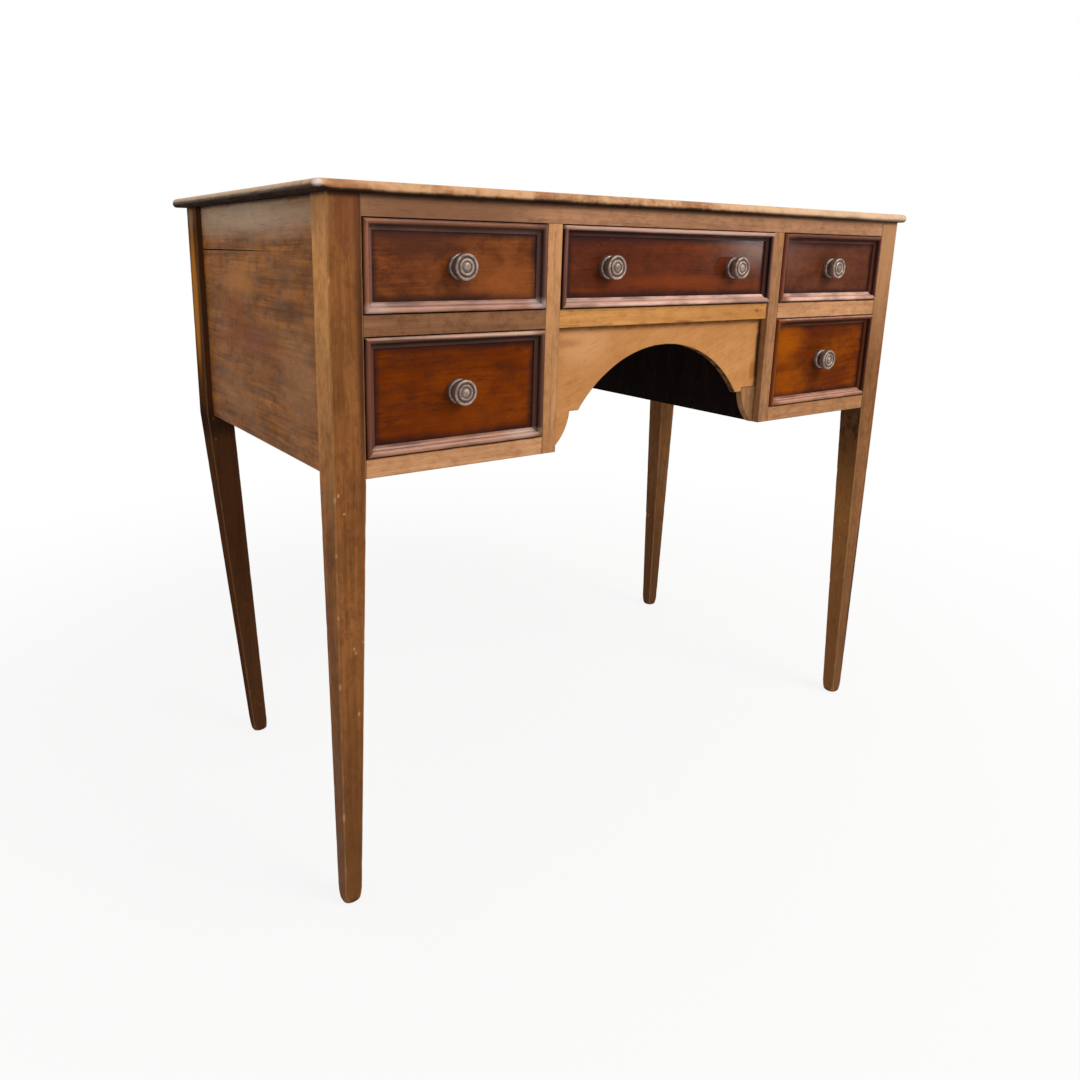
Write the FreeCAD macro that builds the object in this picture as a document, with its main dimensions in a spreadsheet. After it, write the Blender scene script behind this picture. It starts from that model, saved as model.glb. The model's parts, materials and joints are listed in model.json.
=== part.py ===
import FreeCAD, Part
import Sketcher
import os
import re

# A writing table: five drawers in a frame on four tapered legs, with an arched apron in the kneehole.
# Millimetres, +Z up, +Y to the back, X = 0 on the mirror plane, the floor at Z = 0.

doc = FreeCAD.newDocument("WritingTable")
sheet_by_alias = {}
nodes = {}
tolerance = 0.01

sizes = {
    "height": "760",
    "span_x": "892",
    "span_y": "446",
    "leg_size": "35",
    "foot_size": "19.5",
    "foot_chamfer": "1.5",
    "lean_x": "35",
    "lean_y": "33",
    "top_thick": "11",
    "top_side_overhang": "13",
    "top_front_overhang": "8",
    "top_back_overhang": "16",
    "top_corner_radius": "8",
    "top_upper_round": "6",
    "top_lower_round": "3",
    "top_rail_height": "20",
    "upper_opening": "90",
    "mid_rail_height": "20.5",
    "lower_opening": "119.5",
    "bottom_rail_height": "19.5",
    "rail_setback": "1",
    "rail_depth": "42",
    "center_rail_setback": "2.5",
    "kneehole_width": "349",
    "divider_width": "19.5",
    "divider_depth": "20",
    "tenon_length": "13",
    "tenon_width": "20",
    "tenon_shoulder": "5",
    "stub_tenon": "6",
    "stub_width": "10",
    "panel_thick": "12",
    "panel_setback": "8",
    "panel_tongue": "10",
    "upper_board": "53",
    "back_thick": "10",
    "back_setback": "8",
    "partition_thick": "12",
    "apron_setback": "10",
    "apron_thick": "9",
    "apron_tongue": "4",
    "arch_rise": "70",
    "spring_rise": "43",
    "step_width": "13",
    "bracket_width": "27",
    "bracket_toe": "2",
    "bracket_radius": "60",
    "patch_lap": "5.5",
    "runner_width": "20",
    "guide_height": "50",
    "stop_height": "5",
    "stop_width": "12",
    "stop_length": "30",
    "screw_diameter": "4",
    "screw_head": "8",
    "screw_head_thick": "3",
    "screw_recess": "5",
    "screw_bite": "7",
    "screw_inset": "55",
    "hole_clearance": "0.1",
    "front_gap": "1.2",
    "field_setback": "6",
    "front_thick": "18",
    "side_thick": "8",
    "drawer_back_thick": "8",
    "drawer_back_drop": "6",
    "bottom_thick": "6",
    "bottom_rise": "7",
    "groove_depth": "4",
    "run_clearance": "0.3",
    "lift_clearance": "2.5",
    "rear_gap": "15",
    "tail_length": "12",
    "tail_pitch": "30",
    "tail_width": "20",
    "tail_flare": "2",
    "bead_width": "10.5",
    "bead_height": "8",
    "bead_shoulder": "6",
    "bead_lip": "1.5",
    "nose_width": "4.6",
    "cove_radius": "6.5",
    "knob_diameter": "27",
    "knob_length": "18",
    "knob_edge": "2",
    "rose_diameter": "26.5",
    "rose_thick": "5.5",
    "rose_edge": "2",
    "neck_diameter": "13",
    "neck_length": "3.5",
    "face_drop": "2.4",
    "boss_diameter": "8",
    "boss_rise": "1.2",
    "ring_diameter": "10.8",
    "ring_width": "4",
    "ring_radius": "3",
    "rim_width": "3",
    "rim_radius": "2",
    "bolt_diameter": "5",
    "bolt_clearance": "0.3",
    "nut_width": "12",
    "nut_thick": "4",
    "bolt_proud": "1",
    "knob_spacing": "208",
}

# Levels run down from the top, and depths run back from the front faces of the legs.
places = {
    "half_x": "span_x / 2",
    "knob_reach": "knob_length - field_setback",
    "front": "knob_reach - (knob_reach + span_y + top_back_overhang) / 2",
    "rear": "front + span_y",
    "leg_in_x": "half_x - leg_size",
    "leg_back": "front + leg_size",
    "rear_leg_face": "rear - leg_size",
    "under_top": "height - top_thick",
    "upper_top": "under_top - top_rail_height",
    "upper_base": "upper_top - upper_opening",
    "lower_top": "upper_base - mid_rail_height",
    "lower_base": "lower_top - lower_opening",
    "case_bottom": "lower_base - bottom_rail_height",
    "rail_front": "front + rail_setback",
    "rail_back": "rail_front + rail_depth",
    "divider_back": "rail_front + divider_depth",
    "knee_x": "kneehole_width / 2",
    "stack_x": "knee_x + divider_width",
    "stack_width": "leg_in_x - stack_x",
    "stack_center": "(leg_in_x + stack_x) / 2",
    "panel_out": "half_x - panel_setback",
    "panel_in": "panel_out - panel_thick",
    "back_out": "rear - back_setback",
    "back_in": "back_out - back_thick",
    "partition_x": "knee_x + partition_thick",
    "apron_front": "rail_front + apron_setback",
    "apron_back": "apron_front + apron_thick",
    "spring": "case_bottom + spring_rise",
    "step_x": "knee_x - bracket_width",
    "arch_x": "step_x - step_width",
    "toe_x": "knee_x - bracket_toe",
    "arch_radius": "(arch_x ^ 2 + arch_rise ^ 2) / (2 * arch_rise)",
    "tenon_front": "front + (leg_size - tenon_width) / 2",
    "stub_front": "rail_front + (divider_depth - stub_width) / 2",
    "field": "front + field_setback",
    "front_back": "field + front_thick",
    "drawer_rear": "back_in - rear_gap",
    "nose_rise": "bead_height - bead_shoulder",
    "nose_radius": "(nose_width ^ 2 / 4 + nose_rise ^ 2) / (2 * nose_rise)",
    "bolt_radius": "bolt_diameter / 2",
    "head_base": "rose_thick + neck_length",
    "knob_face": "knob_length - face_drop",
    "boss_radius": "(boss_diameter ^ 2 / 4 + boss_rise ^ 2) / (2 * boss_rise)",
    "screw_base": "upper_top + screw_recess",
}


def qualified(formula):
    def with_sheet(word):
        alias = word.group()
        return f"{sheet_by_alias[alias]}.{alias}" if alias in sheet_by_alias else alias
    return re.sub(r"[a-z]\w*", with_sheet, formula)


def add_sheet(name, cells, lead):
    sheet = doc.addObject("Spreadsheet::Sheet", name)
    for row, (alias, content) in enumerate(cells.items(), start=1):
        sheet.set(f"A{row}", alias)
        sheet.set(f"B{row}", lead + qualified(content))
        sheet.setAlias(f"B{row}", alias)
        sheet_by_alias[alias] = name
    doc.recompute()
    return sheet


size_sheet = add_sheet("Sizes", sizes, "")
place_sheet = add_sheet("Places", places, "=")


def bind(item, prop, formula):
    item.setExpression(prop, qualified(formula))


def number(formula):
    return float(size_sheet.evalExpression(qualified(formula)))


def put(item, x, y, z):
    bind(item, "Placement.Base.x", x)
    bind(item, "Placement.Base.y", y)
    bind(item, "Placement.Base.z", z)
    return item


def node(label, item):
    item.Label = label
    nodes[label] = item
    return item


# A span is a (from, to) pair of formulas. On the left side it is the mirror image of the right one.
def sided(side, near, far):
    return (near, far) if side == "right" else (f"-({far})", f"-({near})")


def slab(x, y, z):
    item = doc.addObject("Part::Box", "Slab")
    bind(item, "Length", f"({x[1]}) - ({x[0]})")
    bind(item, "Width", f"({y[1]}) - ({y[0]})")
    bind(item, "Height", f"({z[1]}) - ({z[0]})")
    return put(item, x[0], y[0], z[0])


def rod(x, y, z, radius, length, along_y=False):
    item = doc.addObject("Part::Cylinder", "Rod")
    if along_y:
        item.Placement.Rotation = FreeCAD.Rotation(FreeCAD.Vector(1, 0, 0), -90)
    bind(item, "Radius", radius)
    bind(item, "Height", length)
    return put(item, x, y, z)


def joined(parts):
    item = doc.addObject("Part::MultiFuse", "Joined")
    item.Shapes = parts
    item.Refine = True
    return item


def group(parts):
    item = doc.addObject("Part::Compound", "Group")
    item.Links = parts
    return item


def less(base, tools):
    item = doc.addObject("Part::Cut", "Less")
    item.Base = base
    item.Tool = tools[0] if len(tools) == 1 else group(tools)
    return item


# Corners are (x, y) formulas. A third entry is the radius of the arc to the next corner,
# and a fourth says on which side of the straight line that arc bulges.
def outline(body, plane, corners, lift="0"):
    sketch = body.newObject("Sketcher::SketchObject", "Outline")
    base = [feature for feature in body.Origin.OriginFeatures if feature.Role == plane][0]
    sketch.AttachmentSupport = (base, [""])
    sketch.MapMode = "FlatFace"
    bind(sketch, "AttachmentOffset.Base.z", lift)
    points = [FreeCAD.Vector(number(corner[0]), number(corner[1]), 0) for corner in corners]
    count = len(points)
    ends = []
    for i, corner in enumerate(corners):
        start, end = points[i], points[(i + 1) % count]
        if len(corner) == 2:
            sketch.addGeometry(Part.LineSegment(start, end))
        else:
            chord = end - start
            radius = number(corner[2])
            rise = radius - (radius ** 2 - chord.Length ** 2 / 4) ** 0.5
            left = FreeCAD.Vector(-chord.y, chord.x, 0).normalize()
            crown = (start + end) / 2 + left * (rise if corner[3] == "left" else -rise)
            sketch.addGeometry(Part.Arc(start, crown, end))
        ends.append((1, 2) if sketch.getPoint(i, 1).isEqual(start, tolerance) else (2, 1))
    for i, corner in enumerate(corners):
        follower = (i + 1) % count
        sketch.addConstraint(Sketcher.Constraint("Coincident", i, ends[i][1], follower, ends[follower][0]))
    for i, corner in enumerate(corners):
        for kind, formula in zip(("DistanceX", "DistanceY"), corner[:2]):
            index = sketch.addConstraint(Sketcher.Constraint(kind, i, ends[i][0], number(formula)))
            bind(sketch, f"Constraints[{index}]", formula)
        if len(corner) > 2:
            index = sketch.addConstraint(Sketcher.Constraint("Radius", i, number(corner[2])))
            bind(sketch, f"Constraints[{index}]", corner[2])
    doc.recompute()
    return sketch


def rectangle(x, y):
    return [(x[0], y[0]), (x[1], y[0]), (x[1], y[1]), (x[0], y[1])]


def pad(body, sketch, length):
    feature = body.newObject("PartDesign::Pad", "Pad")
    feature.Profile = sketch
    bind(feature, "Length", length)
    doc.recompute()
    return feature


def edges_where(feature, wanted):
    return [f"Edge{i}" for i, edge in enumerate(feature.Shape.Edges, start=1) if wanted(edge.BoundBox)]


def rounded(body, feature, kind, edges, size):
    item = body.newObject(f"PartDesign::{kind}", kind)
    item.Base = (feature, edges)
    bind(item, "Radius" if kind == "Fillet" else "Size", size)
    doc.recompute()
    return item


def new_body(name):
    return doc.addObject("PartDesign::Body", name)


top_level = ("upper_top", "under_top")
mid_level = ("lower_top", "upper_base")
low_level = ("case_bottom", "lower_base")
sides = ("left", "right")
rail_y = ("rail_front", "rail_back")
tenon_y = ("tenon_front", "tenon_front + tenon_width")
stub_y = ("stub_front", "stub_front + stub_width")


# Each tenon is part of its rail and also cuts its mortise.
def tenon(side, start, length, y, level):
    return slab(sided(side, start, f"{start} + {length}"), y,
                (f"{level[0]} + tenon_shoulder", f"{level[1]} - tenon_shoulder"))


leg_tenons = {}
stack_stubs = {}
knee_stubs = {}
divider_tenons = {}
for side in sides:
    leg_tenons[side] = [tenon(side, "leg_in_x", "tenon_length", tenon_y, level)
                        for level in (top_level, mid_level, low_level)]
    stack_stubs[side] = [tenon(side, "stack_x - stub_tenon", "stub_tenon", stub_y, level)
                         for level in (mid_level, low_level)]
    knee_stubs[side] = tenon(side, "knee_x", "stub_tenon", stub_y, mid_level)
    divider_tenons[side] = slab(sided(side, "knee_x + tenon_shoulder", "stack_x - tenon_shoulder"), stub_y,
                                ("upper_top", "upper_top + stub_tenon"))

# Panels, housed in grooves in the legs
panel_boards = {}
for side in sides:
    panel_x = sided(side, "panel_in", "panel_out")
    panel_y = ("leg_back - panel_tongue", "rear_leg_face + panel_tongue")
    lower_board = slab(panel_x, panel_y, ("case_bottom", "under_top - upper_board"))
    upper_board = slab(panel_x, panel_y, ("under_top - upper_board", "under_top"))
    panel_boards[side] = [lower_board, upper_board]
    node(f"side_panel_{side}", group(panel_boards[side]))

back_panel = node("back_panel", slab(("-leg_in_x - panel_tongue", "leg_in_x + panel_tongue"),
                                     ("back_in", "back_out"), ("case_bottom", "under_top")))


# A leg is a square post whose two inner faces taper from the case down to the foot.
# The rear left one has been refitted, and leans in.
def leg(end, side):
    outer_x, inner_x, foot_x = (sided(side, x, x)[0] for x in ("half_x", "leg_in_x", "half_x - foot_size"))
    outer_y, inner_y, foot_y = {"front": ("front", "leg_back", "front + foot_size"),
                                "rear": ("rear", "rear_leg_face", "rear - foot_size")}[end]
    body = new_body("Leg")
    square = rectangle((outer_x, inner_x), (outer_y, inner_y))
    pad(body, outline(body, "XY_Plane", square, "case_bottom"), "under_top - case_bottom")
    foot = rectangle((outer_x, foot_x), (outer_y, foot_y))
    if (end, side) == ("rear", "left"):
        foot = rectangle((f"{outer_x} + lean_x", f"{foot_x} + lean_x"),
                         (f"{outer_y} - lean_y", f"{foot_y} - lean_y"))
    taper = body.newObject("PartDesign::AdditiveLoft", "Taper")
    taper.Profile = outline(body, "XY_Plane", square, "case_bottom")
    taper.Sections = [outline(body, "XY_Plane", foot)]
    taper.Ruled = True
    doc.recompute()
    foot_edges = edges_where(taper, lambda box: box.ZMax < tolerance)
    rounded(body, taper, "Chamfer", foot_edges, "foot_chamfer")
    mortises = leg_tenons[side] if end == "front" else [back_panel]
    node(f"leg_{end}_{side}", less(body, mortises + panel_boards[side]))


for side in sides:
    leg("front", side)
    leg("rear", side)

# Runners carry the drawers, and guides keep them straight.
runners = []
guides = []
runner_y = ("rail_back", "back_in")
for side in sides:
    for level in (mid_level, low_level):
        guide_z = (level[0], f"{level[0]} + guide_height")
        runners.append(slab(sided(side, "leg_in_x - runner_width", "leg_in_x"), runner_y, level))
        runners.append(slab(sided(side, "stack_x", "stack_x + runner_width"), runner_y, level))
        guides.append(slab(sided(side, "leg_in_x", "panel_in"), ("leg_back", "rear_leg_face"), guide_z))
        guides.append(slab(sided(side, "partition_x", "stack_x"), ("divider_back", "back_in"), guide_z))
    runners.append(slab(sided(side, "knee_x - runner_width", "knee_x"), runner_y, mid_level))
node("drawer_runners", group(runners))
node("drawer_guides", group(guides))

screws = []
top_holes = []


# A screw stands head down in a counterbore and bites into the top. Its holes are returned.
def top_screw(x, y):
    shank_length = "under_top + screw_bite - screw_base"
    head = rod(x, y, "screw_base - screw_head_thick", "screw_head / 2", "screw_head_thick")
    shank = rod(x, y, "screw_base", "screw_diameter / 2", shank_length)
    screws.append(joined([head, shank]))
    hole = rod(x, y, "screw_base", "screw_diameter / 2 + hole_clearance", f"{shank_length} + hole_clearance")
    counterbore = rod(x, y, "upper_top", "screw_head / 2 + hole_clearance", "screw_recess")
    top_holes.append(hole)
    return [hole, counterbore]


# Kickers under the top stop an open drawer from tipping.
kickers = []
for side in sides:
    for near, far, rear_end in (("leg_in_x - runner_width", "panel_in", "rear_leg_face"),
                                ("partition_x", "stack_x + runner_width", "back_in"),
                                ("knee_x - runner_width", "knee_x", "back_in")):
        kicker_x = sided(side, near, far)
        kicker_middle = f"({kicker_x[0]} + ({kicker_x[1]})) / 2"
        holes = top_screw(kicker_middle, "rail_back + screw_inset")
        holes += top_screw(kicker_middle, f"{rear_end} - screw_inset")
        kickers.append(less(slab(kicker_x, ("rail_back", rear_end), top_level), holes))
node("kickers", group(kickers))

# Front frame
top_rail_blank = slab(("-leg_in_x", "leg_in_x"), rail_y, top_level)
rail_cuts = list(divider_tenons.values())
for screw_x in ("-stack_center", "stack_center"):
    rail_cuts += top_screw(screw_x, "(rail_front + rail_back) / 2")
node("top_rail", less(joined([top_rail_blank, leg_tenons["left"][0], leg_tenons["right"][0]]), rail_cuts))
node("tabletop_screws", group(screws))

for side in sides:
    stack_span = sided(side, "stack_x", "leg_in_x")
    for row, (name, level) in enumerate((("mid_rail", mid_level), ("bottom_rail", low_level))):
        rail = slab(stack_span, rail_y, level)
        node(f"{name}_{side}", joined([rail, leg_tenons[side][row + 1], stack_stubs[side][row]]))

center_rail = slab(("-knee_x", "knee_x"), ("rail_front + center_rail_setback", "rail_back"), mid_level)
node("mid_rail_center", joined([center_rail, knee_stubs["left"], knee_stubs["right"]]))

# The apron's right bracket is let in as a separate piece.
apron_body = new_body("Apron")
apron_corners = [("-knee_x - apron_tongue", "case_bottom"),
                 ("-toe_x", "case_bottom", "bracket_radius", "right"),
                 ("-step_x", "spring"), ("-arch_x", "spring", "arch_radius", "left"),
                 ("arch_x", "spring"), ("step_x", "spring", "bracket_radius", "right"),
                 ("toe_x", "case_bottom"), ("knee_x + apron_tongue", "case_bottom"),
                 ("knee_x + apron_tongue", "lower_top"), ("-knee_x - apron_tongue", "lower_top")]
pad(apron_body, outline(apron_body, "XZ_Plane", apron_corners, "-apron_back"), "apron_thick")
patch_block = slab(("step_x", "knee_x + apron_tongue"), ("apron_front", "apron_back"),
                   ("case_bottom", "spring + patch_lap"))
node("arched_apron", less(apron_body, [patch_block]))
patch = doc.addObject("Part::Common", "Patch")
patch.Base = apron_body
patch.Tool = patch_block
node("apron_bracket_right", patch)

for side in sides:
    stile = slab(sided(side, "knee_x", "stack_x"), ("rail_front", "divider_back"),
                 ("case_bottom", "upper_top"))
    apron_slot = slab(sided(side, "knee_x", "knee_x + apron_tongue"), ("apron_front", "apron_back"),
                      ("case_bottom", "lower_top"))
    node(f"divider_{side}", less(joined([stile, divider_tenons[side]]),
                                 stack_stubs[side] + [knee_stubs[side], apron_slot]))
    board = slab(sided(side, "knee_x", "partition_x"), ("divider_back", "back_in"),
                 ("case_bottom", "under_top"))
    node(f"partition_{side}", less(board, [top_rail_blank]))

# Tabletop: square at the back, thumb-moulded at the front and both ends
top_body = new_body("Top")
top_outline = rectangle(("-half_x - top_side_overhang", "half_x + top_side_overhang"),
                        ("front - top_front_overhang", "rear + top_back_overhang"))
top_board = pad(top_body, outline(top_body, "XY_Plane", top_outline, "under_top"), "top_thick")
front_limit = number("front - top_front_overhang") + tolerance
back_limit = number("rear + top_back_overhang") - tolerance
upper_limit = number("height") - tolerance
lower_limit = number("under_top") + tolerance
front_corners = edges_where(top_board, lambda box: box.ZLength > tolerance and box.YMax < front_limit)
top_board = rounded(top_body, top_board, "Fillet", front_corners, "top_corner_radius")
upper_rim = edges_where(top_board, lambda box: box.ZMin > upper_limit and box.YMin < back_limit)
top_board = rounded(top_body, top_board, "Fillet", upper_rim, "top_upper_round")
lower_rim = edges_where(top_board, lambda box: box.ZMax < lower_limit and box.YMin < back_limit)
rounded(top_body, top_board, "Fillet", lower_rim, "top_lower_round")
node("tabletop", less(top_body, top_holes))


# The corners of a row of dovetails up the end of a board
def dovetails(base, tip, z_low, z_high):
    corners = []
    count = int(number(f"{z_high} - ({z_low})") // number("tail_pitch"))
    pitch = f"({z_high} - ({z_low})) / {count}"
    for k in range(count):
        middle = f"{z_low} + {k + 0.5} * {pitch}"
        corners.append((base, f"{middle} - tail_width / 2 + tail_flare"))
        corners.append((tip, f"{middle} - tail_width / 2"))
        corners.append((tip, f"{middle} + tail_width / 2"))
        corners.append((base, f"{middle} + tail_width / 2 - tail_flare"))
    return corners


# One mitred length of the moulding, lying along X with its outer edge up
def bead_strip(length):
    body = new_body("Bead")
    profile = [("0", "0"), ("0", "bead_width"), ("-bead_shoulder", "bead_width", "nose_radius", "right"),
               ("-bead_shoulder", "bead_width - nose_width", "cove_radius", "left"), ("-bead_lip", "0")]
    pad(body, outline(body, "YZ_Plane", profile, f"-({length}) / 2"), length)
    for sign in ("-", ""):
        end = f"{sign}({length}) / 2"
        inner = f"{sign}(({length}) / 2 - bead_width)"
        mitre = body.newObject("PartDesign::Pocket", "Mitre")
        mitre.Profile = outline(body, "XZ_Plane", [(inner, "0"), (end, "0"), (end, "bead_width")])
        mitre.Type = "ThroughAll"
        mitre.Reversed = True
        doc.recompute()
    return body


# A turned knob with its bolt. The axis is Y, and the rose sits on the drawer front at Y = 0.
def knob(x, z):
    body = new_body("Knob")
    bolt_end = "front_thick + nut_thick + bolt_proud"
    profile = [("0", bolt_end), ("0", "-knob_length", "boss_radius", "right"),
               ("boss_diameter / 2", "boss_rise - knob_length"),
               ("boss_diameter / 2", "-knob_face"),
               ("ring_diameter / 2", "-knob_face", "ring_radius", "right"),
               ("ring_diameter / 2 + ring_width", "-knob_face"),
               ("knob_diameter / 2 - rim_width", "-knob_face", "rim_radius", "right"),
               ("knob_diameter / 2", "-knob_face"),
               ("knob_diameter / 2", "-head_base - knob_edge"),
               ("knob_diameter / 2 - knob_edge", "-head_base"),
               ("neck_diameter / 2", "-head_base"),
               ("neck_diameter / 2", "-rose_thick"),
               ("rose_diameter / 2 - rose_edge", "-rose_thick"),
               ("rose_diameter / 2", "rose_edge - rose_thick"),
               ("rose_diameter / 2", "0"),
               ("bolt_radius", "0"),
               ("bolt_radius", bolt_end)]
    turning = body.newObject("PartDesign::Revolution", "Turning")
    turning.Profile = outline(body, "XY_Plane", profile)
    turning.ReferenceAxis = (turning.Profile[0], ["V_Axis"])
    doc.recompute()
    return put(body, x, "field", z)


stops = []


def drawer(name, middle, opening_width, base, opening_height, knob_places):
    half = f"({opening_width} / 2 - front_gap)"
    whole_x = (f"{middle} - {half}", f"{middle} + {half}")
    front_low = f"{base} + front_gap"
    front_high = f"{base} + {opening_height} - front_gap"
    side_low = f"{base} + run_clearance"
    side_high = f"{base} + {opening_height} - lift_clearance"
    floor_low = f"{side_low} + bottom_rise"
    floor_high = f"{floor_low} + bottom_thick"
    back_high = f"{side_high} - drawer_back_drop"
    knob_z = f"{base} + {opening_height} / 2"

    floor_half = f"({half} - side_thick + groove_depth)"
    floor_board = slab((f"{middle} - {floor_half}", f"{middle} + {floor_half}"),
                       ("front_back - groove_depth", "drawer_rear"), (floor_low, floor_high))
    node(f"{name}_bottom", floor_board)

    back_base = "drawer_rear - drawer_back_thick"
    side_corners = [("front_back", side_low)]
    side_corners += dovetails("front_back", "front_back - tail_length", front_low, front_high)
    side_corners += [("front_back", side_high), ("drawer_rear", side_high), ("drawer_rear", back_high)]
    side_corners += [(back_base, back_high)]
    side_corners += dovetails(back_base, "drawer_rear", floor_high, back_high)[::-1]
    side_corners += [(back_base, floor_high), ("drawer_rear", floor_high), ("drawer_rear", side_low)]
    boards = []
    for start in (whole_x[0], f"{whole_x[1]} - side_thick"):
        body = new_body("Side")
        pad(body, outline(body, "YZ_Plane", side_corners, start), "side_thick")
        boards.append(body)
    node(f"{name}_sides", group([less(body, [floor_board]) for body in boards]))

    back_board = slab(whole_x, (back_base, "drawer_rear"), (floor_high, back_high))
    node(f"{name}_back", less(back_board, boards))

    hole_radius = "bolt_radius + bolt_clearance"
    bolt_holes = [rod(x, "field", knob_z, hole_radius, "front_thick", True) for x in knob_places]
    face = slab(whole_x, ("field", "front_back"), (front_low, front_high))
    node(f"{name}_front", less(face, boards + [floor_board] + bolt_holes))

    node(f"{name}_knobs", group([knob(x, knob_z) for x in knob_places]))
    nuts = []
    for x in knob_places:
        nut = slab((f"{x} - nut_width / 2", f"{x} + nut_width / 2"),
                   ("front_back", "front_back + nut_thick"),
                   (f"{knob_z} - nut_width / 2", f"{knob_z} + nut_width / 2"))
        thread = rod(x, "front_back", knob_z, "bolt_radius + hole_clearance", "nut_thick", True)
        nuts.append(less(nut, [thread]))
    node(f"{name}_nuts", group(nuts))

    strips = []
    across = f"2 * {half}"
    upward = f"({opening_height} - 2 * front_gap)"
    for turn, length, x, z in ((0, across, middle, f"{front_high} - bead_width"),
                               (90, upward, f"{whole_x[1]} - bead_width", knob_z),
                               (180, across, middle, f"{front_low} + bead_width"),
                               (270, upward, f"{whole_x[0]} + bead_width", knob_z)):
        strip = bead_strip(length)
        strip.Placement.Rotation = FreeCAD.Rotation(FreeCAD.Vector(0, 1, 0), turn)
        strips.append(put(strip, x, "field", z))
    node(f"{name}_beading", group(strips))

    for sign in ("-", "+"):
        spot = f"{middle} {sign} {half} / 2"
        stops.append(slab((f"{spot} - stop_length / 2", f"{spot} + stop_length / 2"),
                          ("front_back + run_clearance", "front_back + run_clearance + stop_width"),
                          (base, f"{base} + stop_height")))


drawer("center_drawer", "0", "kneehole_width", "upper_base", "upper_opening",
       ["-knob_spacing / 2", "knob_spacing / 2"])
for side in sides:
    middle = sided(side, "stack_center", "stack_center")[0]
    drawer(f"upper_{side}_drawer", middle, "stack_width", "upper_base", "upper_opening", [middle])
    drawer(f"lower_{side}_drawer", middle, "stack_width", "lower_base", "lower_opening", [middle])
node("drawer_stops", group(stops))

doc.recompute()
for item in doc.Objects:
    if "Invalid" in item.State or "Error" in item.State:
        raise RuntimeError(f"{item.Label} does not compute")
for label, item in nodes.items():
    if item.Shape.isNull() or not item.Shape.isValid():
        raise RuntimeError(f"{label} has no valid shape")
os.makedirs("parts", exist_ok=True)
for label, item in nodes.items():
    item.Shape.exportStep(f"parts/{label}.step")
print(len(nodes), "parts written")
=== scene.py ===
import json
import math

import bmesh
import bpy
from mathutils import Matrix, Vector, noise

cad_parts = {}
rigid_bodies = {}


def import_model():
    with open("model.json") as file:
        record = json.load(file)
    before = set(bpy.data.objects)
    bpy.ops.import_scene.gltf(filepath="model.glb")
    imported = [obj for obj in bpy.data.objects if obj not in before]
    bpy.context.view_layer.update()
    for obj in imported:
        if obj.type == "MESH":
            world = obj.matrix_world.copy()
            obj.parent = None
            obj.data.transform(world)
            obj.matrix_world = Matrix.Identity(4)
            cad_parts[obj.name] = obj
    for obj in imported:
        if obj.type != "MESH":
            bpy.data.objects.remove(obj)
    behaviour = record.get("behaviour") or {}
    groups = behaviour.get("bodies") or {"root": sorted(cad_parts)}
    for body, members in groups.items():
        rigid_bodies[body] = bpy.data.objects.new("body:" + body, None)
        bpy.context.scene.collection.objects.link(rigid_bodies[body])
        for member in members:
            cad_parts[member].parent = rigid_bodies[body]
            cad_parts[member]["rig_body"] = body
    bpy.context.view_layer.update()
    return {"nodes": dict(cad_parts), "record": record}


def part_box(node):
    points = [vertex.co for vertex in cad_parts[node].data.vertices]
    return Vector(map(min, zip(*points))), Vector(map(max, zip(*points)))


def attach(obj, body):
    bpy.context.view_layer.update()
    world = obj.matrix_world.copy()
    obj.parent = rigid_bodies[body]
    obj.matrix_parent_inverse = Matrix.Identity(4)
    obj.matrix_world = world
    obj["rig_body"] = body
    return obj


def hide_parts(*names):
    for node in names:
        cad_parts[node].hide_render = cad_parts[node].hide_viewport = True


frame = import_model()
nodes = frame["nodes"]
scene = bpy.context.scene
mm = 0.001
print("frame loaded:", len(nodes), "pieces")


# Colours are written as they look on a screen, 0 to 255.
def tone(red, green, blue):
    linear = []
    for value in (red, green, blue):
        share = value / 255
        linear.append(share / 12.92 if share <= 0.04045 else ((share + 0.055) / 1.055) ** 2.4)
    return (*linear, 1.0)


# Camera

view = {
    "place": (-0.769756, -0.965676, 0.698827),
    "yaw": -0.595501,
    "pitch": -0.242548,
    "roll": 0.015303,
    "lens": 28.57,
    "sensor": 36.0,
    "shift": (0.0487, -0.0704),
}


def setCamera():
    level = math.cos(view["pitch"])
    ahead = Vector((-math.sin(view["yaw"]) * level, math.cos(view["yaw"]) * level, math.sin(view["pitch"])))
    right = Vector((math.cos(view["yaw"]), math.sin(view["yaw"]), 0))
    right = Matrix.Rotation(-view["roll"], 3, ahead) @ right
    axes = Matrix((right, right.cross(ahead), -ahead)).transposed()
    data = bpy.data.cameras.new("camera")
    data.sensor_width = view["sensor"]
    data.lens = view["lens"]
    data.shift_x, data.shift_y = view["shift"]
    camera = bpy.data.objects.new("camera", data)
    camera.matrix_world = Matrix.Translation(view["place"]) @ axes.to_4x4()
    scene.collection.objects.link(camera)
    scene.camera = camera


setCamera()
print("camera set")


# Shader helpers: a value is either a plain number or colour, or another node's output.

def addNode(tree, kind, values=None, **settings):
    made = tree.nodes.new(kind)
    for key, value in settings.items():
        setattr(made, key, value)
    for key, value in (values or {}).items():
        if isinstance(value, bpy.types.NodeSocket):
            tree.links.new(value, made.inputs[key])
        else:
            made.inputs[key].default_value = value
    return made


def calc(tree, operation, *values):
    return addNode(tree, "ShaderNodeMath", dict(enumerate(values)), operation=operation).outputs[0]


def apart(tree, first, second):
    return calc(tree, "ABSOLUTE", calc(tree, "SUBTRACT", first, second))


def vectorCalc(tree, operation, *values):
    made = addNode(tree, "ShaderNodeVectorMath", dict(enumerate(values)), operation=operation)
    return made.outputs["Value" if operation in ("LENGTH", "DOT_PRODUCT") else "Vector"]


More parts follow.
